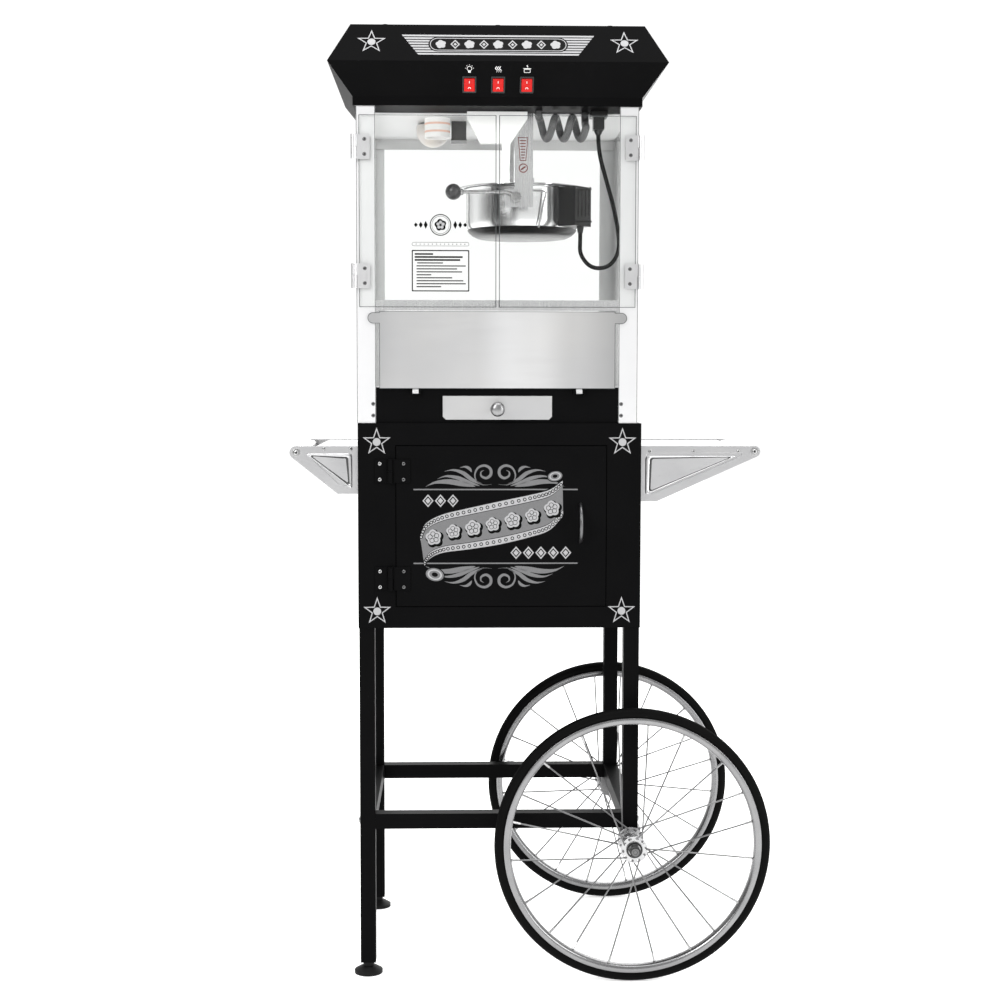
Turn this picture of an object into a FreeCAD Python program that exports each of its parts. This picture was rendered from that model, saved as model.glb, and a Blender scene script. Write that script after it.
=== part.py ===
import FreeCAD, Part
import math
import os
import re
import Sketcher

Vector = FreeCAD.Vector
Rotation = FreeCAD.Rotation

# Popcorn cart: a popper with a glazed cabinet on a two-wheeled cart.
# X runs from the push handle to the wheels, Y from front to back, Z up.
# The origin is on the floor, in the middle of the whole cart's outline.
SIZES = {
    # the cart's middle, and the popper's, which stands a little to the left on it
    "cart_x": -50.45,
    "popper_x": -54.45,
    # storage cabinet
    "cabinet_width": 466,
    "cabinet_depth": 388,
    "cabinet_bottom": 585,
    "cabinet_top": 923.5,
    "cabinet_sheet": 1,
    "door_middle": 2.6,
    "door_width": 345.6,
    "door_bottom": 621.4,
    "door_height": 264.7,
    "door_thick": 14,
    "door_proud": 1,
    "door_gap": 1.2,
    "door_skin": 1.5,
    # hinges and bow pull of the cabinet door
    "leaf_thick": 2,
    "cart_knuckle": 4.5,
    "cart_pin": 1.6,
    "cart_pin_x": 180,
    "cart_leaf_tall": 38.5,
    "cart_leaf_fixed": 25,
    "cart_leaf_moving": 33,
    "cart_leaf_low": 648,
    "cart_leaf_up": 825.5,
    "run_gap": 0.05,
    "pull_x": 133.5,
    "pull_middle": 759,
    "pull_radius": 36,
    "pull_reach": 24,
    "pull_wire": 3,
    # legs, lower rails and levelling feet, all of one square tube
    "leg_side": 25.4,
    "leg_wall": 1.6,
    "leg_inset": 1.2,
    "leg_reach": 120,
    "leg_foot": 20,
    "rail_bottom": 247.5,
    "foot_disc": 23.5,
    "foot_stem": 4,
    # wheels
    "wheel_radius": 228.6,
    "wheel_plane": 230,
    "tyre_radius": 9.5,
    "rim_outside": 213,
    "rim_inside": 201,
    "rim_half": 10,
    "hub_half": 33,
    "hub_flange": 22,
    "flange_middle": 29,
    "flange_half": 1.5,
    "hub_barrel": 11,
    "hub_end": 13,
    "spoke_circle": 18.5,
    "spoke_radius": 1,
    "spoke_hole": 1.3,
    "spokes_per_side": 10,
    "axle_radius": 6,
    "axle_nut": 10,
    "nut_thick": 9,
    "end_play": 0.4,
    "axle_end": 14,
    "bracket_half": 17,
    "bracket_sheet": 3,
    # side shelves with their pressed brackets and the bars at their tips
    "bracket_span": 340,
    "bracket_plate": 2.5,
    "bracket_recess": 1,
    "bracket_flange": 14,
    "shelf_top": 884,
    "shelf_sheet": 1.5,
    "shelf_lip": 14,
    "left_tip": 335.8,
    "left_tip_up": 874,
    "left_tip_round": 11,
    "left_bar": 9.5,
    "left_low": 805.8,
    "left_foot": 35,
    "left_shelf": 305,
    "right_tip": 424.8,
    "right_tip_up": 876,
    "right_tip_round": 9.5,
    "right_bar": 8,
    "right_low": 793.1,
    "right_foot": 29,
    "right_shelf": 413,
    # popper body
    "popper_half": 230,
    "popper_deep": 192,
    "post_side": 31,
    "post_sheet": 2.5,
    "base_top": 982,
    "base_sheet": 1.5,
    "floor_sheet": 1.5,
    "ceiling": 1437,
    "glass": 3,
    "back_glass_top": 1418,
    "sieve_hole": 4.5,
    "sieve_pitch": 22,
    # crumb drawer
    "drawer_half": 89.6,
    "drawer_low": 929.3,
    "drawer_up": 968,
    "drawer_notch": 5,
    "tray_half": 84,
    "tray_low": 932.5,
    "tray_up": 962,
    "tray_deep": 250,
    "tray_sheet": 1.2,
    "knob_radius": 11.5,
    "knob_up": 946.6,
    "knob_out": 14,
    # serving flap
    "flap_half": 193,
    "flap_low": 980,
    "flap_up": 1106,
    "flap_sheet": 1.5,
    "flap_front": 195.5,
    "ear_half": 212,
    "ear_low": 1086,
    "ear_round": 9,
    "flap_pin_y": 197.2,
    "flap_pin_up": 974.5,
    "flap_pin": 1.5,
    "flap_knuckle": 3.2,
    "clip_x": 134,
    "flap_return": 11,
    # clear doors and their hinges
    "pane_bottom": 1112.4,
    "pane_top": 1422,
    "pane_thick": 4,
    "pane_gap": 0.6,
    "pane_split": 2.4,
    "pane_edge": 225.5,
    "rail_low": 1107.5,
    "rail_up": 1124.5,
    "pin_x": 233.5,
    "pin_y": 198,
    "door_knuckle": 5,
    "door_pin": 1.6,
    "door_leaf_tall": 40,
    "door_leaf_low": 1143,
    "door_leaf_up": 1350.5,
    "door_leaf_width": 26,
    # sign housing
    "trim_up": 1451,
    "sign_middle": 1501,
    "sign_top": 1565,
    "trim_x": 235,
    "trim_y": 195,
    "sign_out": 38,
    "roof_x": 237.5,
    "roof_y": 197.5,
    "sign_sheet": 1.5,
    "rocker_up": 1468.6,
    "rocker_pitch": 46.25,
    "rocker_half": 8.5,
    "rocker_tall": 10.5,
    "rocker_pivot": 3,
    "rocker_tilt": 6,
    "trunnion_radius": 1.6,
    "trunnion_out": 0.35,
    # kettle, its hangers and its dump handle
    "kettle_x": 47.2,
    "kettle_radius": 98,
    "kettle_low": 1241,
    "kettle_up": 1323,
    "kettle_wall": 1.5,
    "kettle_corner": 24,
    "lid_radius": 112.5,
    "lid_rise": 14,
    "lid_sheet": 1.5,
    "lid_split": 14,
    "lid_gap": 0.8,
    "lid_slot_reach": 12.5,
    "lid_slot_half": 9,
    "lid_axis_up": 1338.6,
    "lid_knuckle": 2.4,
    "lid_pin": 1.2,
    "lid_lug_y": 36,
    "lid_lug_long": 8,
    "pivot_x": 32,
    "pivot_up": 1297,
    "pivot_radius": 5,
    "hanger_left": 29.3,
    "hanger_wide": 31,
    "hanger_y": 132,
    "hanger_deep": 18,
    "hanger_low": 1281.5,
    "hook_left": 13.6,
    "hook_up": 1310.5,
    "handle_rod": 3,
    "handle_ball": 13.3,
    "handle_x": 72,
    "handle_up": 1305,
    "handle_y": 141,
    "handle_bend": 14,
    "handle_foot": 3,
    "boss_gap": 2.5,
    "boss_radius": 9,
    "bail_wire": 1.7,
    "box_turn": -40,
    "box_half": 23,
    "box_out": 131,
    "box_low": 1255,
    "box_up": 1321,
    "stirrer_radius": 3,
    # lamp, leads and what hangs from the ceiling
    "lamp_x": 107,
    "lamp_radius": 29,
    "lamp_low": 1395,
    "sleeve_radius": 21.5,
    "sleeve_low": 1403,
    "plug_x": 168,
    "plug_y": 140,
    "plug_low": 1399,
    "lead_radius": 3.5,
    "coil_y": 147,
    "coil_up": 1409,
    "coil_radius": 24,
    "lamp_y": 10,
    "sleeve_right": 8,
    "sleeve_y": 66,
    "socket_half_x": 14,
    "socket_half_y": 16,
    "socket_tall": 10,
    "grip_half_x": 9,
    "grip_half_y": 11,
    "boot_tall": 8,
    "boot_top": 8,
    "ceiling_front": 120,
    "junction_left": 75,
    "junction_right": 50,
    "junction_deep": 40,
    "junction_low": 1404,
    "shroud_left": 49.4,
    "shroud_right": 50,
    "shroud_lip": 13,
    "shroud_waist": 53,
    "shroud_waist_left": 27,
    "shroud_waist_right": 22,
    "shroud_strip_left": 8,
    "shroud_tip": 117,
    "shroud_tip_left": 12,
    "shroud_tip_right": 20,
    "shroud_thick": 14,
    "shroud_gap": 2,
    # screws and other small parts of the sign
    "roof_screw_x": 182,
    "roof_screw_in": 12,
    "roof_screw_radius": 4.5,
    "roof_screw_tall": 2.2,
    "gland_x": 160,
    "gland_radius": 6,
    "gland_long": 13,
    "window_gap": 0.7,
    "window_deep": 30,
    "rocker_back": 4,
    "rocker_nose": 4,
    "rocker_valley": 1,
    # small parts of the base, flap, drawer and kettle
    "clip_cheek_x": 7,
    "clip_cheek": 3,
    "clip_out": 3,
    "clip_tall": 4,
    "clip_pin_half": 8,
    "mouth_gap_x": 1.5,
    "mouth_gap_z": 1,
    "stem_radius": 4,
    "flap_tab_half": 5,
    "door_rail_deep": 10,
    "leaf_back": 28,
    "leaf_gap": 0.2,
    "pan_rim": 4,
    "pan_rim_tall": 3,
    "pin_end": 2.5,
    "lid_seat": 0.3,
    "lid_brim": 8,
    "lid_hole_gap": 3,
    "lug_low": 7,
    "lug_gap": 0.4,
    "recess_root": 12,
    "recess_top": 2,
    "recess_tip": 20,
    "recess_tip_low": 7,
    "recess_foot": 4,
    "recess_low": 14,
    "box_inset": 25,
    "box_rim_gap": 4.2,
    "dog_up": 6,
    "dog_tall": 8,
    "dog_out": 3,
    "blade_half": 2,
    "blade_tall": 8,
    "blade_gap": 4,
}

# A tool that cuts a body runs past its faces by this much.
PAST = 5

doc = FreeCAD.newDocument("PopcornCart")
sheet = doc.addObject("Spreadsheet::Sheet", "Sizes")
for row, (alias, value) in enumerate(SIZES.items(), start=1):
    sheet.set(f"A{row}", alias)
    sheet.set(f"B{row}", str(value))
    sheet.setAlias(f"B{row}", alias)
doc.recompute()

SUB_PARTS = []

# Places that several sub-parts share, as expressions on the sheet.
LEG_X = "(cabinet_width / 2 - leg_inset - leg_side / 2)"
LEG_Y = "(cabinet_depth / 2 - leg_inset - leg_side / 2)"
FRONT = "(cabinet_depth / 2)"
AXLE_X = "cart_x + " + LEG_X
FLOOR_TOP = "(base_top + floor_sheet)"
CEILING_LOW = "(ceiling - base_sheet)"
BASE_FRONT = "(popper_deep - post_sheet)"


def cells(text):
    """The expression with each alias read from the sheet."""

    def read(word):
        name = word.group()
        return "Sizes." + name if name in SIZES else name

    return re.sub(r"[a-z]\w*", read, text)


def size(alias):
    return float(sheet.get(alias))


def bind(thing, prop, text):
    thing.setExpression(prop, cells(text))


def place(thing, x="0", y="0", z="0", turn=None):
    if turn:
        thing.Placement = FreeCAD.Placement(Vector(0, 0, 0), turn)
    for letter, text in zip("xyz", (x, y, z)):
        bind(thing, "Placement.Base." + letter, text)
    return thing


ALONG = {
    "X": Rotation(Vector(0, 1, 0), 90),
    "Y": Rotation(Vector(1, 0, 0), -90),
    "Z": Rotation(),
}


def block(name, low, high):
    """A box from its low corner to its high corner, both as expressions."""
    box = doc.addObject("Part::Box", name)
    for prop, start, end in zip(("Length", "Width", "Height"), low, high):
        bind(box, prop, f"({end}) - ({start})")
    return place(box, *low)


def rod(name, at, radius, length, along="Z"):
    round_bar = doc.addObject("Part::Cylinder", name)
    bind(round_bar, "Radius", radius)
    bind(round_bar, "Height", length)
    return place(round_bar, *at, turn=ALONG[along])


def ball(name, at, radius):
    sphere = doc.addObject("Part::Sphere", name)
    bind(sphere, "Radius", radius)
    return place(sphere, *at)


def cut(name, base, *tools):
    result = doc.addObject("Part::Cut", name)
    result.Base = base
    result.Tool = tools[0] if len(tools) == 1 else fuse(name + "_tool", *tools)
    return result


def fuse(name, *pieces):
    result = doc.addObject("Part::MultiFuse", name)
    result.Shapes = list(pieces)
    return result


def together(name, *pieces):
    """Several separate solids in one sub-part."""
    result = doc.addObject("Part::Compound", name)
    result.Links = list(pieces)
    return result


def keep(thing, label):
    thing.Label = label
    SUB_PARTS.append(thing)
    return thing


def body(name):
    return doc.addObject("PartDesign::Body", name)


def sketch_on(part_body, role, name):
    sketch = part_body.newObject("Sketcher::SketchObject", part_body.Name + "_" + name)
    plane = [item for item in part_body.Origin.OriginFeatures if item.Role == role][0]
    sketch.AttachmentSupport = [(plane, "")]
    sketch.MapMode = "FlatFace"
    return sketch


def fix_point(sketch, geometry, point, where):
    for axis, text in zip(("DistanceX", "DistanceY"), where):
        index = sketch.addConstraint(Sketcher.Constraint(axis, -1, 1, geometry, point, 1.0))
        label = f"at_{geometry}_{axis[-1].lower()}"
        sketch.renameConstraint(index, label)
        bind(sketch, "Constraints." + label, text)


def add_loop(sketch, points):
    """A closed polygon whose corners are bound to the sheet."""
    first = sketch.GeometryCount
    count = len(points)
    angles = [2 * math.pi * i / count for i in range(count)]
    start = [Vector(math.cos(angle), math.sin(angle), 0) for angle in angles]
    for i in range(count):
        sketch.addGeometry(Part.LineSegment(start[i], start[(i + 1) % count]), False)
    for i in range(count):
        sketch.addConstraint(Sketcher.Constraint("Coincident", first + i, 2, first + (i + 1) % count, 1))
    for i, where in enumerate(points):
        fix_point(sketch, first + i, 1, where)


def add_circle(sketch, where, radius):
    geometry = sketch.addGeometry(Part.Circle(Vector(0, 0, 0), Vector(0, 0, 1), 1), False)
    fix_point(sketch, geometry, 3, where)
    index = sketch.addConstraint(Sketcher.Constraint("Radius", geometry, 1.0))
    sketch.renameConstraint(index, f"radius_{geometry}")
    bind(sketch, f"Constraints.radius_{geometry}", radius)


def pad(part_body, sketch, length, reverse=False, both=False):
    feature = part_body.newObject("PartDesign::Pad", sketch.Name + "_pad")
    feature.Profile = sketch
    feature.Reversed = reverse
    if both:
        feature.SideType = "Symmetric"
    bind(feature, "Length", length)
    return feature


def pocket(part_body, sketch, depth, reverse=False, both=False):
    feature = part_body.newObject("PartDesign::Pocket", sketch.Name + "_pocket")
    feature.Profile = sketch
    feature.Reversed = reverse
    if both:
        feature.SideType = "Symmetric"
    bind(feature, "Length", depth)
    return feature


def revolve(part_body, sketch, axis="V_Axis"):
    feature = part_body.newObject("PartDesign::Revolution", sketch.Name + "_turn")
    feature.Profile = sketch
    feature.ReferenceAxis = (sketch, [axis])
    feature.Angle = 360
    return feature


def turned(name, profile, along="Z"):
    """A body of revolution: the profile is a list of (radius, height along the axis)."""
    part_body = body(name)
    role = "XZ_Plane" if along == "Z" else "XY_Plane"
    sketch = sketch_on(part_body, role, "profile")
    add_loop(sketch, profile)
    revolve(part_body, sketch)
    return part_body


def slab(name, role, points, length, **options):
    """A flat plate: the polygon of points on an origin plane, padded."""
    part_body = body(name)
    sketch = sketch_on(part_body, role, "outline")
    add_loop(sketch, points)
    pad(part_body, sketch, length, **options)
    return part_body


# --- legs, rails and feet -------------------------------------------------

def square(half):
    return [(f"-{half}", f"-{half}"), (half, f"-{half}"), (half, half), (f"-{half}", half)]


def leg(label, side, depth, bottom):
    part_body = body(label)
    sketch = sketch_on(part_body, "XY_Plane", "section")
    add_loop(sketch, square("(leg_side / 2)"))
    add_loop(sketch, square("(leg_side / 2 - leg_wall)"))
    pad(part_body, sketch, f"cabinet_bottom + leg_reach - {bottom}")
    place(part_body, f"cart_x + {side} * {LEG_X}", f"{depth} * {LEG_Y}", bottom)
    keep(part_body, label)


def tube(name, middle, half_length, along):
    """A level square tube, open at both ends."""
    half = {"X": "(leg_side / 2)", "Y": "(leg_side / 2)"}
    half[along] = half_length
    low = (f"{middle[0]} - {half['X']}", f"{middle[1]} - {half['Y']}", "rail_bottom")
    high = (f"{middle[0]} + {half['X']}", f"{middle[1]} + {half['Y']}", "rail_bottom + leg_side")
    wall = {"X": "leg_wall", "Y": "leg_wall"}
    wall[along] = "0"
    inner_low = (f"{low[0]} + {wall['X']}", f"{low[1]} + {wall['Y']}", "rail_bottom + leg_wall")
    inner_high = (f"{high[0]} - {wall['X']}", f"{high[1]} - {wall['Y']}", "rail_bottom + leg_side - leg_wall")
    return cut(name, block(name + "_out", low, high), block(name + "_bore", inner_low, inner_high))


def make_frame():
    for side, side_name, bottom in ((-1, "left", "leg_foot"), (1, "right", "rail_bottom")):
        for depth, depth_name in ((-1, "front"), (1, "rear")):
            leg(f"leg_{depth_name}_{side_name}", side, depth, bottom)
    across = [
        tube("rail_" + name, ("cart_x", f"{depth} * {LEG_Y}"), f"({LEG_X} - leg_side / 2)", "X")
        for depth, name in ((-1, "front"), (1, "rear"))
    ]
    keep(together("long_rails", *across), "rails_front_rear")
    along = [
        tube("rail_" + name, (f"cart_x + {side} * {LEG_X}", "0"), f"({LEG_Y} - leg_side / 2)", "Y")
        for side, name in ((-1, "left"), (1, "right"))
    ]
    keep(together("side_rails", *along), "rails_side")


def foot(name, depth):
    """Levelling foot: rubber-faced disc, nut, washer under the leg and stem."""
    profile = [
        ("0", "0"),
        ("foot_disc", "0"),
        ("foot_disc", "5"),
        ("foot_disc - 10", "11"),
        ("9", "13"),
        ("9", "leg_foot - 1.5"),
        ("leg_side / 2", "leg_foot - 1.5"),
        ("leg_side / 2", "leg_foot"),
        ("foot_stem", "leg_foot"),
        ("foot_stem", "leg_foot + 30"),
        ("0", "leg_foot + 30"),
    ]
    return place(turned(name, profile), f"cart_x - {LEG_X}", f"{depth} * {LEG_Y}")


# --- axle and wheels ------------------------------------------------------

def make_axle():
    end = "(wheel_plane + hub_half + axle_end)"
    shaft = rod("axle_shaft", (AXLE_X, f"-{end}", "wheel_radius"), "axle_radius", f"2 * {end}", "Y")
    pieces = [shaft]
    nut_face = "(wheel_plane + hub_half + end_play)"
    collar_face = f"({LEG_Y} + leg_side / 2)"
    collar = f"(wheel_plane - hub_half - end_play - {collar_face})"
    for side, name in ((-1, "front"), (1, "rear")):
        nut = doc.addObject("Part::Prism", "axle_nut_" + name)
        nut.Polygon = 6
        bind(nut, "Circumradius", "axle_nut")
        bind(nut, "Height", "nut_thick")
        start = nut_face if side > 0 else f"-{nut_face} - nut_thick"
        place(nut, AXLE_X, start, "wheel_radius", turn=ALONG["Y"])
        pieces.append(nut)
        start = collar_face if side > 0 else f"-{collar_face} - {collar}"
        pieces.append(rod("axle_collar_" + name, (AXLE_X, start, "wheel_radius"), "9", collar, "Y"))
    keep(fuse("axle", *pieces), "axle")


def axle_bracket(name, depth):
    """Two cheeks and a bridge of thick sheet, under one right-hand leg."""
    middle = f"({depth} * {LEG_Y})"
    half = "(leg_side / 2)"
    cheek_low = (f"{AXLE_X} - bracket_half", f"{middle} - {half}", "wheel_radius")
    cheek_high = (f"{AXLE_X} + bracket_half", f"{middle} + {half}", "rail_bottom")
    plate = block(name + "_plate", cheek_low, cheek_high)
    round_at = (AXLE_X, f"{middle} - {half}", "wheel_radius")
    round_end = rod(name + "_round", round_at, "bracket_half", "leg_side", "Y")
    channel_low = (
        f"{AXLE_X} - 2 * bracket_half",
        f"{middle} - {half} + bracket_sheet",
        "wheel_radius - 2 * bracket_half",
    )
    channel_high = (
        f"{AXLE_X} + 2 * bracket_half",
        f"{middle} + {half} - bracket_sheet",
        "rail_bottom - bracket_sheet",
    )
    channel = block(name + "_channel", channel_low, channel_high)
    bore_at = (AXLE_X, f"{middle} - leg_side", "wheel_radius")
    bore = rod(name + "_bore", bore_at, "axle_radius", "2 * leg_side", "Y")
    return cut(name, fuse(name + "_solid", plate, round_end), channel, bore)


def hub(label, side):
    flange_in = "flange_middle - flange_half"
    flange_out = "flange_middle + flange_half"
    half_profile = [
        ("axle_radius + run_gap", "hub_half"),
        ("hub_end", "hub_half"),
        ("hub_end", flange_out),
        ("hub_flange", flange_out),
        ("hub_flange", flange_in),
        ("hub_barrel + 3", f"{flange_in} - 1.5"),
        ("hub_barrel", f"{flange_in} - 8"),
    ]
    mirrored = [(radius, f"-({height})") for radius, height in reversed(half_profile)]
    part_body = turned(label, half_profile + mirrored, along="Y")
    holes = sketch_on(part_body, "XZ_Plane", "holes")
    add_circle(holes, ("spoke_circle", "0"), "spoke_hole")
    drilled = pocket(part_body, holes, "4 * hub_half", both=True)
    doc.recompute()
    ring = part_body.newObject("PartDesign::PolarPattern", label + "_ring")
    ring.Originals = [drilled]
    ring.Axis = (holes, ["N_Axis"])
    ring.Angle = 360
    bind(ring, "Occurrences", "spokes_per_side")
    part_body.Tip = ring
    place(part_body, AXLE_X, f"{side} * wheel_plane", "wheel_radius")
    keep(part_body, label)


def spoke_shape():
    """Tangent spokes from both flanges to the rim, about the wheel's own middle."""
    per_side = int(size("spokes_per_side"))
    inner = size("spoke_circle")
    outer = size("rim_inside") - 0.1
    radius = size("spoke_radius")
    flange_y = size("flange_middle") - size("flange_half") - radius - 1.0
    step = 2 * math.pi / per_side
    lean = math.radians(38)
    spokes = []
    for flange in (-1, 1):
        for index in range(per_side):
            start_angle = step * (index + 0.25 * flange)
            end_angle = start_angle + (lean if index % 2 else -lean)
            start = Vector(inner * math.cos(start_angle), flange * flange_y, inner * math.sin(start_angle))
            end = Vector(outer * math.cos(end_angle), flange * 3, outer * math.sin(end_angle))
            spokes.append(Part.makeCylinder(radius, (end - start).Length, start, end - start))
    return Part.makeCompound(spokes)


def ring_tyre(name, section, side):
    ring = doc.addObject("Part::Torus", name)
    bind(ring, "Radius1", "wheel_radius - tyre_radius")
    bind(ring, "Radius2", section)
    return place(ring, AXLE_X, f"{side} * wheel_plane", "wheel_radius", turn=ALONG["Y"])


def rim(label, side):
    profile = [
        ("rim_inside", "-rim_half + 3"),
        ("rim_inside + 3", "-rim_half"),
        ("rim_outside", "-rim_half"),
        ("rim_outside", "rim_half"),
        ("rim_inside + 3", "rim_half"),
        ("rim_inside", "rim_half - 3"),
    ]
    ring = turned(label + "_ring", profile, along="Y")
    solid = place(ring, AXLE_X, f"{side} * wheel_plane", "wheel_radius")
    keep(cut(label, solid, ring_tyre(label + "_seat", "tyre_radius", side)), label)


def wheel(name, side):
    hub("hub_" + name, side)
    spokes = doc.addObject("Part::Feature", "spokes_" + name)
    spokes.Shape = spoke_shape()
    keep(place(spokes, AXLE_X, f"{side} * wheel_plane", "wheel_radius"), "spokes_" + name)
    rim("rim_" + name, side)
    keep(ring_tyre("tyre_" + name, "tyre_radius", side), "tyre_" + name)


# --- storage cabinet and its door -----------------------------------------

def make_cabinet():
    half_x = "(cabinet_width / 2)"
    skin = "cabinet_sheet"
    outer = block(
        "cabinet_outer",
        (f"cart_x - {half_x}", f"-{FRONT}", "cabinet_bottom"),
        (f"cart_x + {half_x}", FRONT, "cabinet_top"),
    )
    inner = block(
        "cabinet_inner",
        (f"cart_x - {half_x} + {skin}", f"-{FRONT} + {skin}", f"cabinet_bottom + {skin}"),
        (f"cart_x + {half_x} - {skin}", f"{FRONT} - {skin}", f"cabinet_top - {skin}"),
    )
    doorway = block(
        "cabinet_doorway",
        (
            "cart_x + door_middle - door_width / 2 - door_gap",
            f"-{FRONT} - {PAST}",
            "door_bottom - door_gap",
        ),
        (
            "cart_x + door_middle + door_width / 2 + door_gap",
            f"-{FRONT} + {PAST}",
            "door_bottom + door_height + door_gap",
        ),
    )
    notches = []
    for side in (-1, 1):
        for depth in (-1, 1):
            x = f"(cart_x + {side} * {LEG_X})"
            y = f"({depth} * {LEG_Y})"
            low = (f"{x} - leg_side / 2", f"{y} - leg_side / 2", "cabinet_bottom - 5")
            high = (f"{x} + leg_side / 2", f"{y} + leg_side / 2", "cabinet_bottom + 5")
            notches.append(block("leg_notch", low, high))
    keep(cut("cabinet_shell", outer, inner, doorway, *notches), "cabinet_shell")


def make_cabinet_door():
    left = "(cart_x + door_middle - door_width / 2)"
    face = f"(-{FRONT} - door_proud)"
    panel = block(
        "door_panel",
        (left, face, "door_bottom"),
        (f"{left} + door_width", f"{face} + door_thick", "door_bottom + door_height"),
    )
    hollow = block(
        "door_hollow",
        (f"{left} + door_skin", f"{face} + door_skin", "door_bottom + door_skin"),
        (
            f"{left} + door_width - door_skin",
            f"{face} + door_thick + {PAST}",
            "door_bottom + door_height - door_skin",
        ),
    )
    keep(cut("cabinet_door", panel, hollow), "cabinet_door")

    bow = doc.addObject("Part::Torus", "pull_bow")
    bind(bow, "Radius1", "pull_radius - pull_wire")
    bind(bow, "Radius2", "pull_wire")
    place(bow, "cart_x + pull_x", f"{face} - pull_reach + pull_radius", "pull_middle", turn=ALONG["X"])
    behind = block(
        "pull_behind",
        ("cart_x + pull_x - 20", face, "pull_middle - 2 * pull_radius"),
        ("cart_x + pull_x + 20", f"{face} + 3 * pull_radius", "pull_middle + 2 * pull_radius"),
    )
    keep(cut("door_pull", bow, behind), "door_pull")


def hinge(name, pin_at, low, tall, knuckle_radius, pin_radius, fixed_plates, moving_plates):
    """Two leaves on an upright pin. The lower half of the knuckle and the pin are on the fixed leaf."""
    half = f"({tall} / 2 - 0.2)"
    upper = f"({low} + {tall} / 2 + 0.2)"
    lower_round = rod(name + "_lower", (*pin_at, low), knuckle_radius, half)
    pin = rod(name + "_pin", (*pin_at, low), pin_radius, tall)
    fixed = fuse(name + "_fixed", lower_round, pin, *fixed_plates)
    upper_round = rod(name + "_upper", (*pin_at, upper), knuckle_radius, half)
    solid = fuse(name + "_moving_solid", upper_round, *moving_plates)
    bore = rod(name + "_bore", (*pin_at, f"{low} - 1"), f"{pin_radius} + run_gap", f"{tall} + 2")
    return fixed, cut(name + "_moving", solid, bore)


def make_cabinet_hinges():
    pin_x = "(cart_x - cart_pin_x)"
    pin_y = f"(-{FRONT} - cart_knuckle - 0.5)"
    clear = "(cart_knuckle + 0.5)"
    half = "(cart_leaf_tall / 2)"
    fixed_leaves = []
    moving_leaves = []
    for name, low in (("low_hinge", "cart_leaf_low"), ("up_hinge", "cart_leaf_up")):
        back = f"-{FRONT}"
        fixed_face = (f"{pin_x} - cart_leaf_fixed", f"{back} - leaf_thick", low)
        plate = block(name + "_plate", fixed_face, (f"{pin_x} - {clear}", back, f"{low} + cart_leaf_tall"))
        web_low = (f"{pin_x} - {clear}", f"{back} - leaf_thick", low)
        web = block(name + "_web", web_low, (pin_x, back, f"{low} + {half} - 0.2"))
        door_back = f"-{FRONT} - door_proud"
        door_face = (f"{pin_x} + {clear}", f"{door_back} - leaf_thick", low)
        door_far = (f"{pin_x} + cart_leaf_moving", door_back, f"{low} + cart_leaf_tall")
        door_plate = block(name + "_door_plate", door_face, door_far)
        door_web_low = (pin_x, f"{door_back} - leaf_thick", f"{low} + {half} + leaf_gap")
        door_web_high = (f"{pin_x} + {clear}", door_back, f"{low} + cart_leaf_tall")
        door_web = block(name + "_door_web", door_web_low, door_web_high)
        fixed, moving = hinge(
            name,
            (pin_x, pin_y),
            low,
            "cart_leaf_tall",
            "cart_knuckle",
            "cart_pin",
            (plate, web),
            (door_plate, door_web),
        )
        fixed_leaves.append(fixed)
        moving_leaves.append(moving)
    keep(together("cabinet_leaves", *fixed_leaves), "cabinet_hinge_leaves")
    keep(together("cabinet_door_leaves", *moving_leaves), "cabinet_door_leaves")


# --- side shelves ---------------------------------------------------------

def bracket(name, side, hand, front):
    """Pressed plate with a root flange, a rounded tip for the bar and a sunk triangle in its outer face."""
    root = f"{side} * (cabinet_width / 2)"
    tip = f"{side} * {hand}_tip"
    tip_up = f"{hand}_tip_up"
    tip_round = f"{hand}_tip_round"
    low = f"{hand}_low"
    foot_x = f"{side} * (cabinet_width / 2 + {hand}_foot)"
    outline = [
        (root, f"{tip_up} + {tip_round}"),
        (tip, f"{tip_up} + {tip_round}"),
        (f"{tip} + {side} * {tip_round} * 0.45", f"{tip_up} - {tip_round} * 0.893"),
        (foot_x, low),
        (root, low),
    ]
    part_body = body(name)
    plate = sketch_on(part_body, "XZ_Plane", "plate")
    add_loop(plate, outline)
    pad(part_body, plate, "bracket_plate", reverse=front)
    tip_sketch = sketch_on(part_body, "XZ_Plane", "tip")
    add_circle(tip_sketch, (tip, tip_up), tip_round)
    pad(part_body, tip_sketch, "bracket_plate", reverse=front)
    flange = sketch_on(part_body, "XZ_Plane", "flange")
    flange_out = f"{root} + {side} * bracket_plate"
    flange_top = f"{tip_up} + {tip_round}"
    add_loop(flange, [(root, flange_top), (flange_out, flange_top), (flange_out, low), (root, low)])
    pad(part_body, flange, "bracket_flange", reverse=front)
    sunk = sketch_on(part_body, "XZ_Plane", "sunk")
    inner_root = f"{root} + {side} * recess_root"
    inner_top = f"{tip_up} - recess_top"
    add_loop(
        sunk,
        [
            (inner_root, inner_top),
            (f"{tip} - {side} * recess_tip", inner_top),
            (f"{tip} - {side} * (recess_tip + recess_top)", f"{tip_up} - recess_tip_low"),
            (f"{root} + {side} * ({hand}_foot - recess_foot)", f"{low} + recess_low"),
            (inner_root, f"{low} + recess_low"),
        ],
    )
    pocket(part_body, sunk, "bracket_recess", reverse=not front)
    face = "-bracket_span / 2" if front else "bracket_span / 2"
    return place(part_body, "cart_x", face)


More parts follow.
